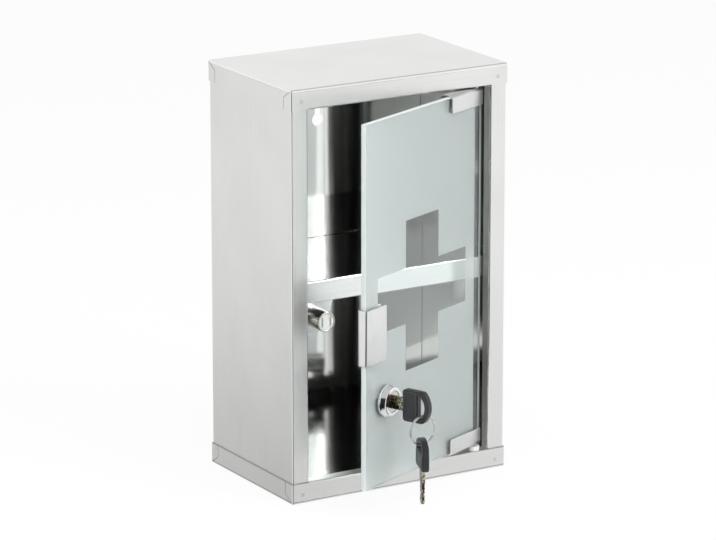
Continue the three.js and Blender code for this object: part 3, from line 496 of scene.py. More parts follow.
def sheet_steel(name, brush, outside, fold, edge, stood_on=nowhere):
    """Stainless sheet. Brush is the axis of the scratches, and the masks say where it is brushed, folded,
    sheared (on the tray also a painted shadow line), and duller and painted darker as shade."""
    finish, shader, place = start_finish(name)
    spot = place.xyz()
    scratches = place.grain([BRUSH_LONG if axis == brush else BRUSH_FINE for axis in "xyz"], detail=3)
    clouds = place.noise(SHEET_CLOUDS, detail=3)
    waves = place.grain(WAVE_LENGTHS, detail=1)
    folded = fold(*spot)
    brushed = outside(*spot) * (1 - folded)
    # Sheared edges; on the tray they also carry a painted shadow line.
    sheared_and_shaded = edge(*spot)
    # Painted shade where things stand, with a little more roughness.
    dull_and_shaded = stood_on(*spot) * (1 - folded)
    tone = mottled(scratches, clouds, SCRATCH_SHARE)
    colour = brushed.blend(tone.blend(BRIGHT_DARK, BRIGHT_LIGHT), tone.blend(STEEL_DARK, STEEL_LIGHT))
    colour = dull_and_shaded.blend(colour, tone.blend(SHADED_FLOOR_DARK, SHADED_FLOOR_LIGHT))
    rough = ROUGH["bright"] + brushed * ROUGH["brushed"]
    rough = rough + sheared_and_shaded * ROUGH["sheared_and_shaded"] + dull_and_shaded * ROUGH["dull_and_shaded"]
    texture = scratches * (SCRATCH_ROUGH + brushed * BRUSHED_SCRATCH_ROUGH) + clouds * CLOUD_ROUGH
    relief = scratches * brushed * SCRATCH_RELIEF + waves * (1 - brushed) * (1 - folded)
    feed(
        shader,
        Base_Color=sheared_and_shaded.blend(colour, SHEARED_AND_SHADED),
        Metallic=1.0,
        Roughness=rough + texture,
        Normal=raised(relief, WAVE_DEPTH),
    )
    return finish


def dress(node, finish):
    """Exchanges the material of a CAD solid."""
    nodes[node].data.materials.clear()
    nodes[node].data.materials.append(finish)


SHEET_FINISHES = {
    "top_cover": ("x", cover_outside, cover_fold, nowhere),
    "bottom_tray": ("x", cover_outside, cover_fold, cover_edge, tray_floor),
    "left_side_panel": ("z", panel_outside, panel_fold, nowhere),
    "right_side_panel": ("z", panel_outside, panel_fold, nowhere),
    "back_panel": ("z", back_outside, nowhere, nowhere),
    "shelf": ("x", lip_outside, lip_fold, lip_edge, shelf_top),
}
for node, look in SHEET_FINISHES.items():
    dress(node, sheet_steel(node + "_steel", *look))
print("sheet pieces:", ", ".join(SHEET_FINISHES))

# %% [markdown]
# ## Metals of the small pieces
# Plated steel, satin steel, chrome and nickel could each have a node tree of their own. They are the same
# shader with another colour, roughness and scratch pattern, so one function makes them all.

# %% Metals
METAL_CLOUDS = 90


def small_metal(name, low, high, rough, scratch_lengths, scratch_rough, depth, contrast=SOFT_CONTRAST):
    """A metal with scratches of the given lengths along x, y and z and the given depth in millimetres."""
    finish, shader, place = start_finish(name)
    scratches = place.grain(scratch_lengths, detail=3)
    clouds = place.noise(METAL_CLOUDS, detail=3)
    feed(
        shader,
        Base_Color=mottled(scratches, clouds, SCRATCH_SHARE, contrast).blend(low, high),
        Metallic=1.0,
        Roughness=rough + scratches * scratch_rough + clouds * CLOUD_ROUGH,
        Normal=raised(scratches, depth),
    )
    return finish


plated_steel = small_metal(
    "plated_steel", low=(0.66, 0.67, 0.68), high=(0.76, 0.77, 0.77), rough=0.16,
    scratch_lengths=(1.5, 1.5, 1.5), scratch_rough=0.12, depth=0.0015,
)
satin_steel = small_metal(
    "satin_steel", low=(0.70, 0.71, 0.71), high=(0.77, 0.775, 0.77), rough=0.22,
    scratch_lengths=(0.3, 0.3, 14), scratch_rough=0.14, depth=0.003,
)
chrome = small_metal(
    "chrome", low=(0.80, 0.81, 0.82), high=(0.88, 0.885, 0.89), rough=0.03,
    scratch_lengths=(2, 2, 2), scratch_rough=0.05, depth=0.0006,
)
nickel = small_metal(
    "nickel", low=(0.58, 0.55, 0.49), high=(0.71, 0.68, 0.62), rough=0.14,
    scratch_lengths=(1, 1, 1), scratch_rough=0.14, depth=0.0018,
)
# Painted reflection: the blades are nearly black, as the black heads that they mirror, with pale flecks for
# their cut edges.
key_steel = small_metal(
    "key_steel", low=(0.05, 0.042, 0.03), high=(0.80, 0.74, 0.55), rough=0.16,
    scratch_lengths=(0.9, 0.9, 1.2), scratch_rough=0.2, depth=0.006, contrast=(0.47, 0.6),
)
print("metals:", plated_steel.name, satin_steel.name, chrome.name, nickel.name, key_steel.name)

# %% [markdown]
# ## Plastic, nylon, rubber and ferrite
# These pieces come out of a mould, whose walls leave a fine grain on them. The grain is far too small to
# model, so it is noise in the bump and the roughness.

# %% Moulded finishes
MOULDED_CLOUDS = 60
SPECKLE_SHARE = 0.4
SPECKLE_ROUGH = 0.12


def moulded(name, low, high, rough, grain, depth):
    """A moulded or sintered finish with a fine grain of the given size and depth in millimetres."""
    finish, shader, place = start_finish(name)
    speckle = place.noise(1 / (grain * MM))
    clouds = place.noise(MOULDED_CLOUDS)
    feed(
        shader,
        Base_Color=mottled(speckle, clouds, SPECKLE_SHARE).blend(low, high),
        Roughness=rough + speckle * SPECKLE_ROUGH,
        Normal=raised(speckle, depth),
    )
    return finish


black_plastic = moulded(
    "black_plastic", low=(0.008, 0.009, 0.010), high=(0.016, 0.018, 0.020),
    rough=0.26, grain=0.25, depth=0.01,
)
# Painted highlight: the frame is a little lighter than the head, for the light that its edges catch.
frame_plastic_painted_highlight = moulded(
    "frame_plastic_painted_highlight", low=(0.032, 0.035, 0.038), high=(0.048, 0.052, 0.056),
    rough=0.22, grain=0.25, depth=0.006,
)
white_nylon = moulded(
    "white_nylon", low=(0.66, 0.66, 0.63), high=(0.74, 0.74, 0.72), rough=0.42, grain=0.5, depth=0.006,
)
pad_rubber = moulded(
    "pad_rubber", low=(0.40, 0.43, 0.42), high=(0.50, 0.53, 0.52), rough=0.6, grain=0.4, depth=0.015,
)
ferrite = moulded(
    "ferrite", low=(0.03, 0.03, 0.031), high=(0.06, 0.06, 0.06), rough=0.6, grain=0.3, depth=0.02,
)
print("moulded:", black_plastic.name, frame_plastic_painted_highlight.name, white_nylon.name, pad_rubber.name, ferrite.name)

# %% [markdown]
# ## Glass
# Float glass is clear with a green-blue cast that shows most at its ground edges. The pane is a smooth
# Principled shader with full transmission. Its ground edges are a second, dull shader. They could be faces
# with a material of their own, but the pane is one CAD solid, so the second shader is mixed in by the
# distance to the pane's rim.

# %% Clear pane
SMEAR_LENGTHS = (30, 30, 80)
SMEAR_CONTRAST = (0.45, 0.8)
SMEAR_ROUGH = 0.03

glass, clear, place = start_finish("float_glass")
smears = place.grain(SMEAR_LENGTHS, detail=3)
feed(
    clear,
    Base_Color=smears.blend((0.935, 0.985, 0.982), (0.945, 0.99, 0.987)),
    Roughness=smears.step(*SMEAR_CONTRAST) * SMEAR_ROUGH,
    Transmission_Weight=1.0,
    IOR=1.5,
)
print("pane:", glass.name)

# %% Ground edges
GLASS_BOTTOM = 20
GLASS_TOP = 283
GLASS_HINGE_EDGE = -5
GLASS_FREE_EDGE = 137.3
GROUND_WIDTH = 0.55
RIM_BLUR = 0.04
GRINDING_MARKS = 2500

hinge = joints["door_hinge"]
pivot_x, pivot_y, _ = hinge["pos_m"]
door_angle = -hinge["range_deg"][0]

x, y, height = place.xyz()
turn = math.radians(door_angle)
along = (pivot_x - x) * math.cos(turn) + (pivot_y - y) * math.sin(turn)
upright_rim = either(
    beyond(along, GLASS_FREE_EDGE - GROUND_WIDTH, RIM_BLUR),
    1 - beyond(along, GLASS_HINGE_EDGE + GROUND_WIDTH, RIM_BLUR),
)
level_rim = either(
    beyond(height, GLASS_TOP - GROUND_WIDTH, RIM_BLUR),
    1 - beyond(height, GLASS_BOTTOM + GROUND_WIDTH, RIM_BLUR),
)
ground = glass.node_tree.nodes.new("ShaderNodeBsdfPrincipled")
grinding = place.noise(GRINDING_MARKS)
feed(
    ground,
    Base_Color=grinding.blend((0.70, 0.765, 0.755), (0.79, 0.845, 0.84)),
    Roughness=0.5 + grinding * 0.2,
    Transmission_Weight=0.3,
)
mix_shaders(glass, either(upright_rim, level_rim), clear.outputs[0], ground.outputs[0])
print("ground edge:", GROUND_WIDTH, "mm wide, on a pane", GLASS_TOP - GLASS_BOTTOM, "mm high")

# %% [markdown]
# ## Frosted layer
# The frosting on the back of the pane is a diffuser: it scatters the light of the room and lets most of it
# through. A rough pane alone would look clear where something lies close behind it, so the layer is a
# solid of its own with a rough shader that transmits only a part of the light and is white for the rest.

# %% Frosted layer
FROST_SPECKLE = 1800
FROST_CLOUDS = 9
FROST_DEPTH = 0.009

frosting, shader, place = start_finish("frosting")
speckle = place.noise(FROST_SPECKLE)
clouds = place.noise(FROST_CLOUDS)
tone = mottled(speckle, clouds, SPECKLE_SHARE)
feed(
    shader,
    Base_Color=tone.blend((0.905, 0.918, 0.908), (0.925, 0.936, 0.926)),
    Roughness=0.55 + speckle * 0.15,
    Transmission_Weight=0.72,
    IOR=1.35,
    Normal=raised(speckle, FROST_DEPTH),
)
print("layer on the pane:", frosting.name)

# %% [markdown]
# ## CAD solids that keep their shape
# Pins, pads, plates, the magnet and the wafers are plain pieces whose CAD shape is already right. Modelling
# them again would only repeat it, so each node's own material is exchanged.

# %% Give the kept solids their finish
KEPT_SOLIDS = {
    plated_steel: (
        "catch_bracket", "catch_pole_left", "catch_pole_right", "upper_hinge_pin", "lower_hinge_pin",
        "upper_pressure_plate", "lower_pressure_plate", "lock_washer",
    ),
    pad_rubber: ("lock_gasket", "upper_clip_pad", "lower_clip_pad", "handle_front_pad", "handle_rear_pad"),
    white_nylon: ("upper_hinge_bush", "catch_insert"),
    nickel: ("lock_plug", "lock_wafer_1", "lock_wafer_2", "lock_wafer_3", "lock_wafer_4"),
    key_steel: ("key_blade", "spare_key_blade"),
    ferrite: ("catch_magnet",),
    glass: ("door_glass",),
    frosting: ("door_frosting",),
}
for finish, names in KEPT_SOLIDS.items():
    for node in names:
        dress(node, finish)
    print(finish.name, "on", len(names), "solids")

# %% [markdown]
# ## Places on the door
# The door stands open in the rest pose. Modelling a clip or a lock in a turned door would be awkward, so
# each piece is modelled in millimetres in a frame of its own, and one matrix per frame sets it down. The
# record's joints give where the hinge, the lock and the ring are.

# %% Frames of the door, the lock and the ring
def joint_spot(name):
    return Matrix.Translation(joints[name]["pos_m"])


def turned_about(axis, degrees):
    return Matrix.Rotation(math.radians(degrees), 4, axis)


def moved(x, y, z):
    return Matrix.Translation(Vector((x, y, z)) * MM)


door_place = Matrix.Translation((pivot_x, pivot_y, 0)) @ turned_about("Z", door_angle)
lock_place = joint_spot("lock_turn") @ turned_about("Z", door_angle) @ turned_about("X", 90)
ring_axis = joints["ring_swing"]["axis"]
ring_angle = math.degrees(math.atan2(-ring_axis[1], -ring_axis[0]))
ring_place = joint_spot("ring_swing") @ turned_about("Z", ring_angle)
print("door stands open by", door_angle, "degrees, the ring is turned by", round(ring_angle, 1))

# %% [markdown]
# ## From a shape to a piece
# Every modelled piece ends alike: it is scaled to metres, set down, shaded smooth up to its sharp edges,
# and hung on the body it rides on, while the CAD nodes that it stands for are hidden. Real edges are
# never quite sharp. A Bevel modifier breaks them, which leaves the modelled mesh simple.

# %% Set a finished shape down
def finished(name, shape, place, body, finish, stands_for, sharp=35):
    """Moves a shape in millimetres to its place and makes it a piece that rides on a body."""
    bmesh.ops.transform(shape, matrix=place @ Matrix.Scale(MM, 4), verts=shape.verts)
    mesh = bpy.data.meshes.new(name)
    shape.to_mesh(mesh)
    shape.free()
    mesh.shade_smooth()
    mesh.set_sharp_from_angle(angle=math.radians(sharp))
    mesh.materials.append(finish)
    made = bpy.data.objects.new(name, mesh)
    bpy.context.scene.collection.objects.link(made)
    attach(made, body)
    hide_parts(*stands_for)
    print(name, "has", len(mesh.polygons), "faces")
    return made


def softened(piece, width, segments=3, angle=40):
    """A Bevel modifier that takes the sharpness off a piece's edges."""
    edge = piece.modifiers.new("soft_edges", "BEVEL")
    edge.width = width * MM
    edge.segments = segments
    edge.limit_method = "ANGLE"
    edge.angle_limit = math.radians(angle)


# %% [markdown]
# ## Folded pieces
# The two pivot clips, the handle and the lock's cam are strips of sheet, bent in a press. They could be
# cut from blocks, but modelling that follows the press is shorter: a line of a few points is the side view
# of the fold, one extrusion makes it a strip, a bevel on the fold lines gives the bend its radius, and
# Solidify gives the sheet its thickness.

# %% Fold a strip
CORNER_STEPS = 5
FOLD_STEPS = 8


def corners_in(geometry):
    return [item for item in geometry if isinstance(item, bmesh.types.BMVert)]


def rounded(shape, geometry, reach, steps, affect="EDGES"):
    bmesh.ops.bevel(
        shape, geom=geometry, offset=reach, affect=affect, segments=steps, profile=0.5, material=-1,
    )


def folded_strip(path, along, fold, corner):
    """path is the side view of the strip's middle, along the way and length of the sweep, in millimetres."""
    shape = bmesh.new()
    points = [shape.verts.new(point) for point in path]
    lines = [shape.edges.new(pair) for pair in zip(points, points[1:])]
    swept = bmesh.ops.extrude_edge_only(shape, edges=lines)["geom"]
    bmesh.ops.translate(shape, verts=corners_in(swept), vec=along)
    free = [vert for vert in shape.verts if len(vert.link_edges) == 2]
    rounded(shape, free, corner, CORNER_STEPS, affect="VERTICES")
    folds = [edge for edge in shape.edges if len(edge.link_faces) == 2]
    rounded(shape, folds, fold, FOLD_STEPS)
    bmesh.ops.recalc_face_normals(shape, faces=shape.faces)
    return shape


def sheet_thickness(piece, thickness):
    wall = piece.modifiers.new("sheet", "SOLIDIFY")
    wall.thickness = thickness * MM
    wall.offset = 0
    wall.use_even_offset = True


print("a fold has", FOLD_STEPS, "steps")

# %% [markdown]
# ### Pivot clips
# A clip grips the glass at its upper or lower edge and carries the pivot pin. It is a U of sheet over the
# edge, deeper behind the glass, where its plate and screws are. The lower clip is the upper one mirrored,
# so a loop makes both from the edge outwards.

# %% Pivot clips
CLIP_SHEET = 1.0
CLIP_FRONT_Y = -3.2
CLIP_REAR_Y = 7.7
CLIP_CROWN = 0.9
CLIP_HEM = 11.6
CLIP_START_X = -34.4
CLIP_LENGTH = 38
CLIP_FOLD = 3.4
CLIP_CORNER = 0.9

for end, edge_z, outwards in (("upper", GLASS_TOP, 1), ("lower", GLASS_BOTTOM, -1)):
    hem = edge_z - outwards * CLIP_HEM
    crown = edge_z + outwards * CLIP_CROWN
    side_view = [
        (CLIP_START_X, CLIP_FRONT_Y, hem),
        (CLIP_START_X, CLIP_FRONT_Y, crown),
        (CLIP_START_X, CLIP_REAR_Y, crown),
        (CLIP_START_X, CLIP_REAR_Y, hem),
    ]
    strip = folded_strip(side_view, (CLIP_LENGTH, 0, 0), CLIP_FOLD, CLIP_CORNER)
    name = end + "_hinge_clip"
    clip = finished(name + "_folded", strip, door_place, "door", satin_steel, [name])
    sheet_thickness(clip, CLIP_SHEET)
    softened(clip, width=0.15, segments=2)

# %% [markdown]
# ### Handle
# The handle is another U of sheet, over the free edge of the glass, and its rear leg meets the magnet. It
# is folded along the upright edge, so its side view is drawn from above and swept upwards.

# %% Handle
HANDLE_BOTTOM = 111
HANDLE_HEIGHT = 40
HANDLE_INNER_X = -114.8
HANDLE_EDGE_X = -138.2
HANDLE_FRONT_Y = -3.3
HANDLE_REAR_Y = 3.6
HANDLE_SHEET = 1.2
HANDLE_FOLD = 1.2
HANDLE_CORNER = 0.8

side_view = [
    (HANDLE_INNER_X, HANDLE_FRONT_Y, HANDLE_BOTTOM),
    (HANDLE_EDGE_X, HANDLE_FRONT_Y, HANDLE_BOTTOM),
    (HANDLE_EDGE_X, HANDLE_REAR_Y, HANDLE_BOTTOM),
    (HANDLE_INNER_X, HANDLE_REAR_Y, HANDLE_BOTTOM),
]
strip = folded_strip(side_view, (0, 0, HANDLE_HEIGHT), HANDLE_FOLD, HANDLE_CORNER)
handle = finished("handle_folded", strip, door_place, "door", satin_steel, ["handle_clip"])
sheet_thickness(handle, HANDLE_SHEET)
softened(handle, width=0.18, segments=2)

# %% [markdown]
# ### Cam
# The cam turns with the plug and reaches behind the front of the cabinet. It is cranked: its hub sits on
# the plug's tail, and its tip lies further forward. The same fold function makes the crank.

# %% Cam behind the lock
CAM_WIDTH = 12
CAM_SHEET = 1.5
CAM_HUB = -13.3
CAM_TIP = -6.15
CAM_HEEL = 8
CAM_CRANK = (-14, -18)
CAM_END = -36
CAM_FOLD = 1.0
CAM_CORNER = 4

side_view = [
    (-CAM_WIDTH / 2, CAM_HEEL, CAM_HUB),
    (-CAM_WIDTH / 2, CAM_CRANK[0], CAM_HUB),
    (-CAM_WIDTH / 2, CAM_CRANK[1], CAM_TIP),
    (-CAM_WIDTH / 2, CAM_END, CAM_TIP),
]
strip = folded_strip(side_view, (CAM_WIDTH, 0, 0), CAM_FOLD, CAM_CORNER)
cam = finished(
    "lock_cam_pressed", strip, lock_place, "lock_plug", plated_steel, ["lock_cam"],
)
sheet_thickness(cam, CAM_SHEET)
softened(cam, width=0.2, segments=2)

# %% [markdown]
# ## Turned pieces
# Bezel, catch barrel, bush and screws come off a lathe. They could be joined from cylinders, but a lathe
# has no seams: half of the section is drawn as a few points and spun round its axis.

# %% Spin a section
MERGE_DISTANCE = 0.0001


def turned(section, steps, closed=True):
    """section is a list of (radius, height); a closed section makes a ring."""
    shape = bmesh.new()
    points = [shape.verts.new((radius, 0, height)) for radius, height in section]
    ends = points[1:] + points[:1] if closed else points[1:]
    for near, far in zip(points, ends):
        shape.edges.new((near, far))
    bmesh.ops.spin(
        shape, geom=shape.verts[:] + shape.edges[:], cent=(0, 0, 0), axis=(0, 0, 1),
        angle=2 * math.pi, steps=steps, use_merge=True,
    )
    bmesh.ops.remove_doubles(shape, verts=shape.verts, dist=MERGE_DISTANCE)
    bmesh.ops.recalc_face_normals(shape, faces=shape.faces)
    return shape


print("points closer than", MERGE_DISTANCE, "mm become one")

# %% [markdown]
# ### Lock bezel
# The bezel is a chromed cone in front of the glass, and its barrel goes through the pane. Chrome shows
# every edge as a line of light, so the two rims of the cone get a wide round of their own before the
# modifier breaks the rest.

# %% Lock housing with its bezel
PLUG_BORE = 6.6
RIM_BORE = 7.8
RIM_SEAT = 5.7
BARREL_RADIUS = 9.4
BARREL_END = -12.2
BEZEL_BACK = 2.8
BEZEL_SHOULDER = 4.2
BEZEL_FACE = 7.8
BEZEL_RADIUS = 12
BEZEL_FACE_RADIUS = 9.9
BEZEL_ROUND = 0.7
BEZEL_ROUND_STEPS = 6
NEARLY = 0.01
BEZEL_SECTION = [
    (PLUG_BORE, BARREL_END), (BARREL_RADIUS, BARREL_END), (BARREL_RADIUS, BEZEL_BACK),
    (BEZEL_RADIUS, BEZEL_BACK), (BEZEL_RADIUS, BEZEL_SHOULDER), (BEZEL_FACE_RADIUS, BEZEL_FACE),
    (RIM_BORE, BEZEL_FACE), (RIM_BORE, RIM_SEAT), (PLUG_BORE, RIM_SEAT),
]


def on_the_cone(vert):
    return vert.co.z > BEZEL_BACK + NEARLY and vert.co.xy.length > BEZEL_FACE_RADIUS - NEARLY


shape = turned(BEZEL_SECTION, steps=96)
rims = [
    edge for edge in shape.edges
    if all(on_the_cone(vert) for vert in edge.verts)
    and abs(edge.verts[0].co.z - edge.verts[1].co.z) < NEARLY
]
rounded(shape, rims, BEZEL_ROUND, BEZEL_ROUND_STEPS)
bezel = finished("lock_bezel", shape, lock_place, "door", chrome, ["lock_housing"])
softened(bezel, width=0.25)

# %% [markdown]
# ### Catch barrel
# The barrel of the magnetic catch is a nickel cup that lies on its side, with the magnet in its mouth. Its
# place comes from the CAD node's box, so that it stays with the bracket.

# %% Catch barrel
CATCH_RADIUS = 7.15
CATCH_MOUTH = 5.95
CATCH_BORE = 2.15
CATCH_LENGTH = 17
CATCH_DEPTH = 13
CATCH_SECTION = [
    (CATCH_BORE, -CATCH_LENGTH), (CATCH_RADIUS, -CATCH_LENGTH), (CATCH_RADIUS, 0),
    (CATCH_MOUTH, 0), (CATCH_MOUTH, -CATCH_DEPTH), (CATCH_BORE, -CATCH_DEPTH),
]

catch_low, catch_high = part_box("catch_barrel")
catch_middle = (catch_low + catch_high) / 2
catch_place = Matrix.Translation((catch_middle.x, catch_low.y, catch_middle.z)) @ turned_about("X", 90)
shape = turned(CATCH_SECTION, steps=72)
barrel = finished("catch_barrel_turned", shape, catch_place, "cabinet", nickel, ["catch_barrel"])
softened(barrel, width=0.3)

# %% [markdown]
# ### Lower bush
# The white bush under the lower clip carries the door's weight on its flange, and its stem sits in the
# tray. It is one more section to spin, round the axis of the hinge.

# %% Lower bush
BUSH_BORE = 2.15
BUSH_FLANGE = 4.5
BUSH_FLANGE_HEIGHT = 3.25
BUSH_STEM = 2.95
BUSH_LENGTH = 6.8
BUSH_SECTION = [
    (BUSH_BORE, 0), (BUSH_FLANGE, 0), (BUSH_FLANGE, -BUSH_FLANGE_HEIGHT),
    (BUSH_STEM, -BUSH_FLANGE_HEIGHT), (BUSH_STEM, -BUSH_LENGTH), (BUSH_BORE, -BUSH_LENGTH),
]

bush_place = Matrix.Translation((pivot_x, pivot_y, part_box("lower_hinge_bush")[1].z))
shape = turned(BUSH_SECTION, steps=48)
bush = finished(
    "lower_bush_turned", shape, bush_place, "cabinet", white_nylon, ["lower_hinge_bush"],
)
softened(bush, width=0.3)

# %% [markdown]
# ## Spot welds
# The covers are welded to the side panels in a few spots. The electrode leaves a shallow dent with a thin
# raised rim. A dent that small could be painted, but a spun section catches the light as the real one does.

# %% Weld marks at the corners of the front
WELD_RADIUS = 1.5
WELD_ROOT = -0.3
WELD_RIM = (1.2, 0.06)
WELD_DENT = (0.85, 0.02)
WELD_SECTION = [
    (0, WELD_ROOT), (WELD_RADIUS, WELD_ROOT), (WELD_RADIUS, 0), WELD_RIM, WELD_DENT, (0, WELD_DENT[1]),
]
WELD_SIDE = 80.5
WELD_HEIGHTS = {"lower": 6.5, "upper": 291}
FRONT_Y = -59

weld_steel = small_metal(
    "weld_steel", low=(0.58, 0.58, 0.57), high=(0.72, 0.72, 0.70), rough=0.24,
    scratch_lengths=(0.5, 0.5, 0.5), scratch_rough=0.2, depth=0.004,
)
for end, height in WELD_HEIGHTS.items():
    for side, x in (("left", -WELD_SIDE), ("right", WELD_SIDE)):
        mark = turned(WELD_SECTION, steps=24, closed=False)
        spot = moved(x, FRONT_Y, height) @ turned_about("X", 90)
        finished(end + "_" + side + "_weld", mark, spot, "cabinet", weld_steel, [])

# %% [markdown]
# ## Screws
# All six screws are pan heads with a cross recess. A boolean could cut the recess, but it leaves untidy
# faces. Instead the head is spun with an open top, which is bridged to a cross of five tiles from a three
# by three grid, and the cross is pushed in. The same function makes every size.

# %% Pan head screw
# The head's section, as shares of its radius and height, from its open top down to its seat.
PAN_SECTION = ((0.62, 1), (0.9, 0.75), (1, 0.3), (1, 0))
CROSS_REACH = 0.48
CROSS_SLIMNESS = 0.4
CROSS_DEPTH = 0.6


def pushed(shape, faces, way):
    """Extrudes faces and moves the new ones."""
    grown = bmesh.ops.extrude_face_region(shape, geom=faces)["geom"]
    bmesh.ops.translate(shape, verts=corners_in(grown), vec=way)


def cross_tiles(shape, reach, height):
    """A flat cross of five tiles: a three by three grid with a slim middle and no corners."""
    grid = bmesh.ops.create_grid(shape, x_segments=3, y_segments=3, size=reach)["verts"]
    bmesh.ops.translate(shape, verts=grid, vec=(0, 0, height))
    for vert in grid:
        for axis in (0, 1):
            if abs(vert.co[axis]) < reach / 2:
                vert.co[axis] *= CROSS_SLIMNESS
    tiles = {face for vert in grid for face in vert.link_faces}
    middle = CROSS_SLIMNESS * reach / 3
    corners = [face for face in tiles if min(abs(part) for part in face.calc_center_median().xy) > middle]
    bmesh.ops.delete(shape, geom=corners, context="FACES")
    return [face for face in tiles if face.is_valid]


def pan_head_screw(shank, length, head, height):
    """Radii and lengths in millimetres; the head stands above its seat at height 0, the shank below."""
    section = [(across * head, up * height) for across, up in PAN_SECTION]
    shape = turned(section + [(shank, 0), (shank, -length)], steps=32, closed=False)
    top = [edge for edge in shape.edges if edge.is_boundary and edge.verts[0].co.z > height / 2]
    recess = cross_tiles(shape, CROSS_REACH * head, height)
    outline = {edge for face in recess for edge in face.edges if edge.is_boundary}
    bmesh.ops.bridge_loops(shape, edges=top + list(outline))
    pushed(shape, recess, (0, 0, -CROSS_DEPTH * height))
    bmesh.ops.delete(shape, geom=recess, context="FACES")
    tail = [edge for edge in shape.edges if edge.is_boundary and edge.verts[0].co.z < -length / 2]
    bmesh.ops.holes_fill(shape, edges=tail, sides=0)
    bmesh.ops.recalc_face_normals(shape, faces=shape.faces)
    return shape


print("a cross recess is", CROSS_DEPTH, "of the head deep")

# %% [markdown]
# ### Where the screws sit
# Two screws press each clip's plate against the glass, one holds the cam on the plug, and one holds the
# catch barrel on its bracket. Each gets a matrix that turns its head outwards and puts it on its seat.

# %% Set the six screws
CLAMP_SEAT_Y = 8.35
CLAMP_X = (-23.4, -7.4)
CLAMP_FROM_EDGE = 6.8
CLAMP_SIZES = {"shank": 1.5, "length": 4.85, "head": 2.7, "height": 1.6}
CAM_SCREW_SEAT = -14.35
CAM_SCREW_SIZES = {"shank": 1.6, "length": 2.4, "head": 4.1, "height": 2.0}
CATCH_SCREW_SEAT = -18.3
CATCH_SCREW_SIZES = {"shank": 2.0, "length": 4.6, "head": 3.5, "height": 2.4}

cam_seat = lock_place @ moved(0, 0, CAM_SCREW_SEAT) @ turned_about("X", 180)
catch_seat = catch_place @ moved(0, 0, CATCH_SCREW_SEAT) @ turned_about("X", 180)
screws = {
    "cam_screw": (cam_seat, "lock_plug", CAM_SCREW_SIZES),
    "catch_screw": (catch_seat, "cabinet", CATCH_SCREW_SIZES),
}
for end, inwards, edge_z in (("upper", -1, GLASS_TOP), ("lower", 1, GLASS_BOTTOM)):
    for index, x in enumerate(sorted(CLAMP_X, reverse=inwards > 0)):
        spot = moved(x, CLAMP_SEAT_Y, edge_z + inwards * CLAMP_FROM_EDGE)
        name = end + "_clamp_screw_" + str(index + 1)
        screws[name] = (door_place @ spot @ turned_about("X", -90), "door", CLAMP_SIZES)
for name, (place, body, sizes) in screws.items():
    finished(name + "_pan_head", pan_head_screw(**sizes), place, body, plated_steel, [name])

# %% [markdown]
# ## Lock nut
# The nut that holds the lock in the glass is a flat hexagon round the barrel. A boolean could drill it, but
# two circles, one with six corners, bridge to a clean flat ring, which is extruded to its thickness. The
# corners are broken as on any nut.

# %% Hexagon nut
NUT_FACE = -3.2
NUT_THICKNESS = 2.6
NUT_FLATS = 23
NUT_SIDES = 6
NUT_BORE_RADIUS = 9.6
NUT_BORE_STEPS = 48

shape = bmesh.new()
bmesh.ops.create_circle(shape, segments=NUT_SIDES, radius=NUT_FLATS / 2 / math.cos(math.pi / NUT_SIDES))
bmesh.ops.subdivide_edges(shape, edges=shape.edges[:], cuts=NUT_BORE_STEPS // NUT_SIDES - 1)
bmesh.ops.create_circle(shape, segments=NUT_BORE_STEPS, radius=NUT_BORE_RADIUS)
flat = bmesh.ops.bridge_loops(shape, edges=shape.edges[:])["faces"]
pushed(shape, flat, (0, 0, NUT_THICKNESS))
bmesh.ops.translate(shape, verts=shape.verts, vec=(0, 0, NUT_FACE - NUT_THICKNESS))
bmesh.ops.recalc_face_normals(shape, faces=shape.faces)
nut = finished("lock_nut_hexagon", shape, lock_place, "door", plated_steel, ["lock_nut"])
softened(nut, width=0.35, segments=2)

# %% [markdown]
# ## Keys
# A key's head is moulded round the blade: a flat block, straight at the blade's end and bulging at the
# ring's end, with a slot of the same shape for the ring and a raised frame on both faces. The outlines are
# flat faces whose bulge is a spun corner. Two of them, bridged and extruded, make a plate that is open in
# the middle, right through.

# %% Flat outlines
BULGE_STEPS = 16
PLATE_CORNER_STEPS = 6


def bulging_plate(shape, straight, tip, half_height, bulge, near_round, far_round):
    """A flat plate in the y-z plane, straight at the low end of z and an arc at its tip."""
    radius = (half_height ** 2 + bulge ** 2) / (2 * bulge)
    near = [shape.verts.new((0, y, straight)) for y in (-half_height, half_height)]
    first = shape.verts.new((0, half_height, tip - bulge))
    last = bmesh.ops.spin(
        shape, geom=[first], cent=(0, 0, tip - radius), axis=(1, 0, 0),
        angle=2 * math.asin(half_height / radius), steps=BULGE_STEPS,
    )["geom_last"][0]
    for pair in (near, (near[1], first), (last, near[0])):
        shape.edges.new(pair)
    bmesh.ops.contextual_create(shape, geom=[edge for edge in shape.edges if not edge.link_faces])
    for ends, reach in ((near, near_round), ([first, last], far_round)):
        rounded(shape, ends, reach, PLATE_CORNER_STEPS, affect="VERTICES")


def open_plate(outline, opening, thickness):
    """A plate between two outlines, extruded evenly to both sides of the y-z plane."""
    shape = bmesh.new()
    bulging_plate(shape, **outline)
    bulging_plate(shape, **opening)
    bmesh.ops.delete(shape, geom=shape.faces[:], context="FACES_ONLY")
    flat = bmesh.ops.bridge_loops(shape, edges=shape.edges[:])["faces"]
    pushed(shape, flat, (thickness, 0, 0))
    bmesh.ops.translate(shape, verts=shape.verts, vec=(-thickness / 2, 0, 0))
    bmesh.ops.recalc_face_normals(shape, faces=shape.faces)
    return shape


print("a bulge has", BULGE_STEPS, "steps")

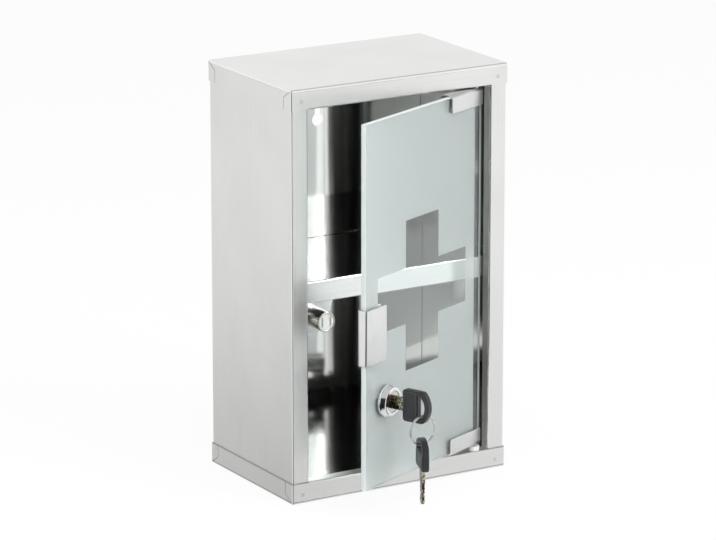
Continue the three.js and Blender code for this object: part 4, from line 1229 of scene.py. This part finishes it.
# %% Outlines of the head
HEAD_THICKNESS = 4.7
FRAME_PROUD = 0.35
SLOT_START = 22
SLOT_END = 27.7
SLOT_HALF_HEIGHT = 8.4
HEAD_OUTLINE = {
    "straight": 9.2, "tip": 31.2, "half_height": 11.5, "bulge": 5, "near_round": 2.4, "far_round": 1.4,
}
HEAD_SLOT = {
    "straight": SLOT_START, "tip": SLOT_END, "half_height": SLOT_HALF_HEIGHT, "bulge": 4.2,
    "near_round": 0.5, "far_round": 0.5,
}
FRAME_OUTLINE = {
    "straight": 10.2, "tip": 21.3, "half_height": 10.2, "bulge": 0.5, "near_round": 1.9, "far_round": 1.2,
}
FRAME_OPENING = {
    "straight": 10.9, "tip": 20.6, "half_height": 9.5, "bulge": 0.4, "near_round": 1.3, "far_round": 0.9,
}
print("slot in a key's head:", round(SLOT_END - SLOT_START, 1), "by", 2 * SLOT_HALF_HEIGHT, "mm")

# %% [markdown]
# ### Both keys
# One key stands in the lock and the spare one hangs from the ring by its slot, a little twisted. They are
# the same shape twice, so a loop makes each head and its frame in the place of its own key.

# %% Both keys
KEY_SHOULDER = 7.5
SPARE_TWIST = -27
RING_SEAT = 1.35

key_place = lock_place @ moved(0, 0, KEY_SHOULDER)
spare_place = joint_spot("spare_key_swing") @ turned_about("Z", ring_angle + SPARE_TWIST)
spare_place = spare_place @ moved(0, 0, RING_SEAT - SLOT_END)
for name, place in (("key", key_place), ("spare_key", spare_place)):
    plate = open_plate(HEAD_OUTLINE, HEAD_SLOT, HEAD_THICKNESS)
    head = finished(
        name + "_head_moulded", plate, place, name, black_plastic, [name + "_head"],
    )
    softened(head, width=0.5)
    plate = open_plate(FRAME_OUTLINE, FRAME_OPENING, HEAD_THICKNESS + 2 * FRAME_PROUD)
    rim = finished(name + "_head_frame", plate, place, name, frame_plastic_painted_highlight, [])
    softened(rim, width=0.15, segments=2)

# %% [markdown]
# ## Split ring
# The ring is wound from round wire: one flat turn, a short cross-over to the side, and a second flat turn
# beside the first. A curve with a round bevel could do it, but a small circle that is spun three times, each
# time from where the last spin ended, is wound as the wire is. Only the middle spin also moves sideways.

# %% Wind the ring
RING_RADIUS = 10.6
RING_WIRE_RADIUS = 0.45
RING_WIRE_SIDES = 12
RING_PITCH = 1.35
RING_START = -30
# Each spin has its angle in degrees, its move sideways in millimetres, and its steps.
RING_TURNS = ((300, 0, 100), (60, RING_PITCH, 20), (300, 0, 100))

shape = bmesh.new()
wire = bmesh.ops.create_circle(shape, segments=RING_WIRE_SIDES, radius=RING_WIRE_RADIUS)["verts"]
bmesh.ops.translate(shape, verts=wire, vec=(RING_RADIUS, -RING_PITCH / 2, 0))
start = Matrix.Rotation(math.radians(RING_START), 3, "Y")
bmesh.ops.rotate(shape, verts=wire, cent=(0, 0, 0), matrix=start)
ends = shape.verts[:] + shape.edges[:]
for degrees, sideways, steps in RING_TURNS:
    ends = bmesh.ops.spin(
        shape, geom=ends, cent=(0, 0, 0), axis=(0, -1, 0), dvec=(0, sideways / steps, 0),
        angle=math.radians(degrees), steps=steps,
    )["geom_last"]
bmesh.ops.holes_fill(shape, edges=[edge for edge in shape.edges if edge.is_boundary], sides=0)
bmesh.ops.translate(shape, verts=shape.verts, vec=(0, 0, -RING_RADIUS))
bmesh.ops.recalc_face_normals(shape, faces=shape.faces)
finished("split_ring", shape, ring_place, "key_ring", plated_steel, ["key_ring"], sharp=60)
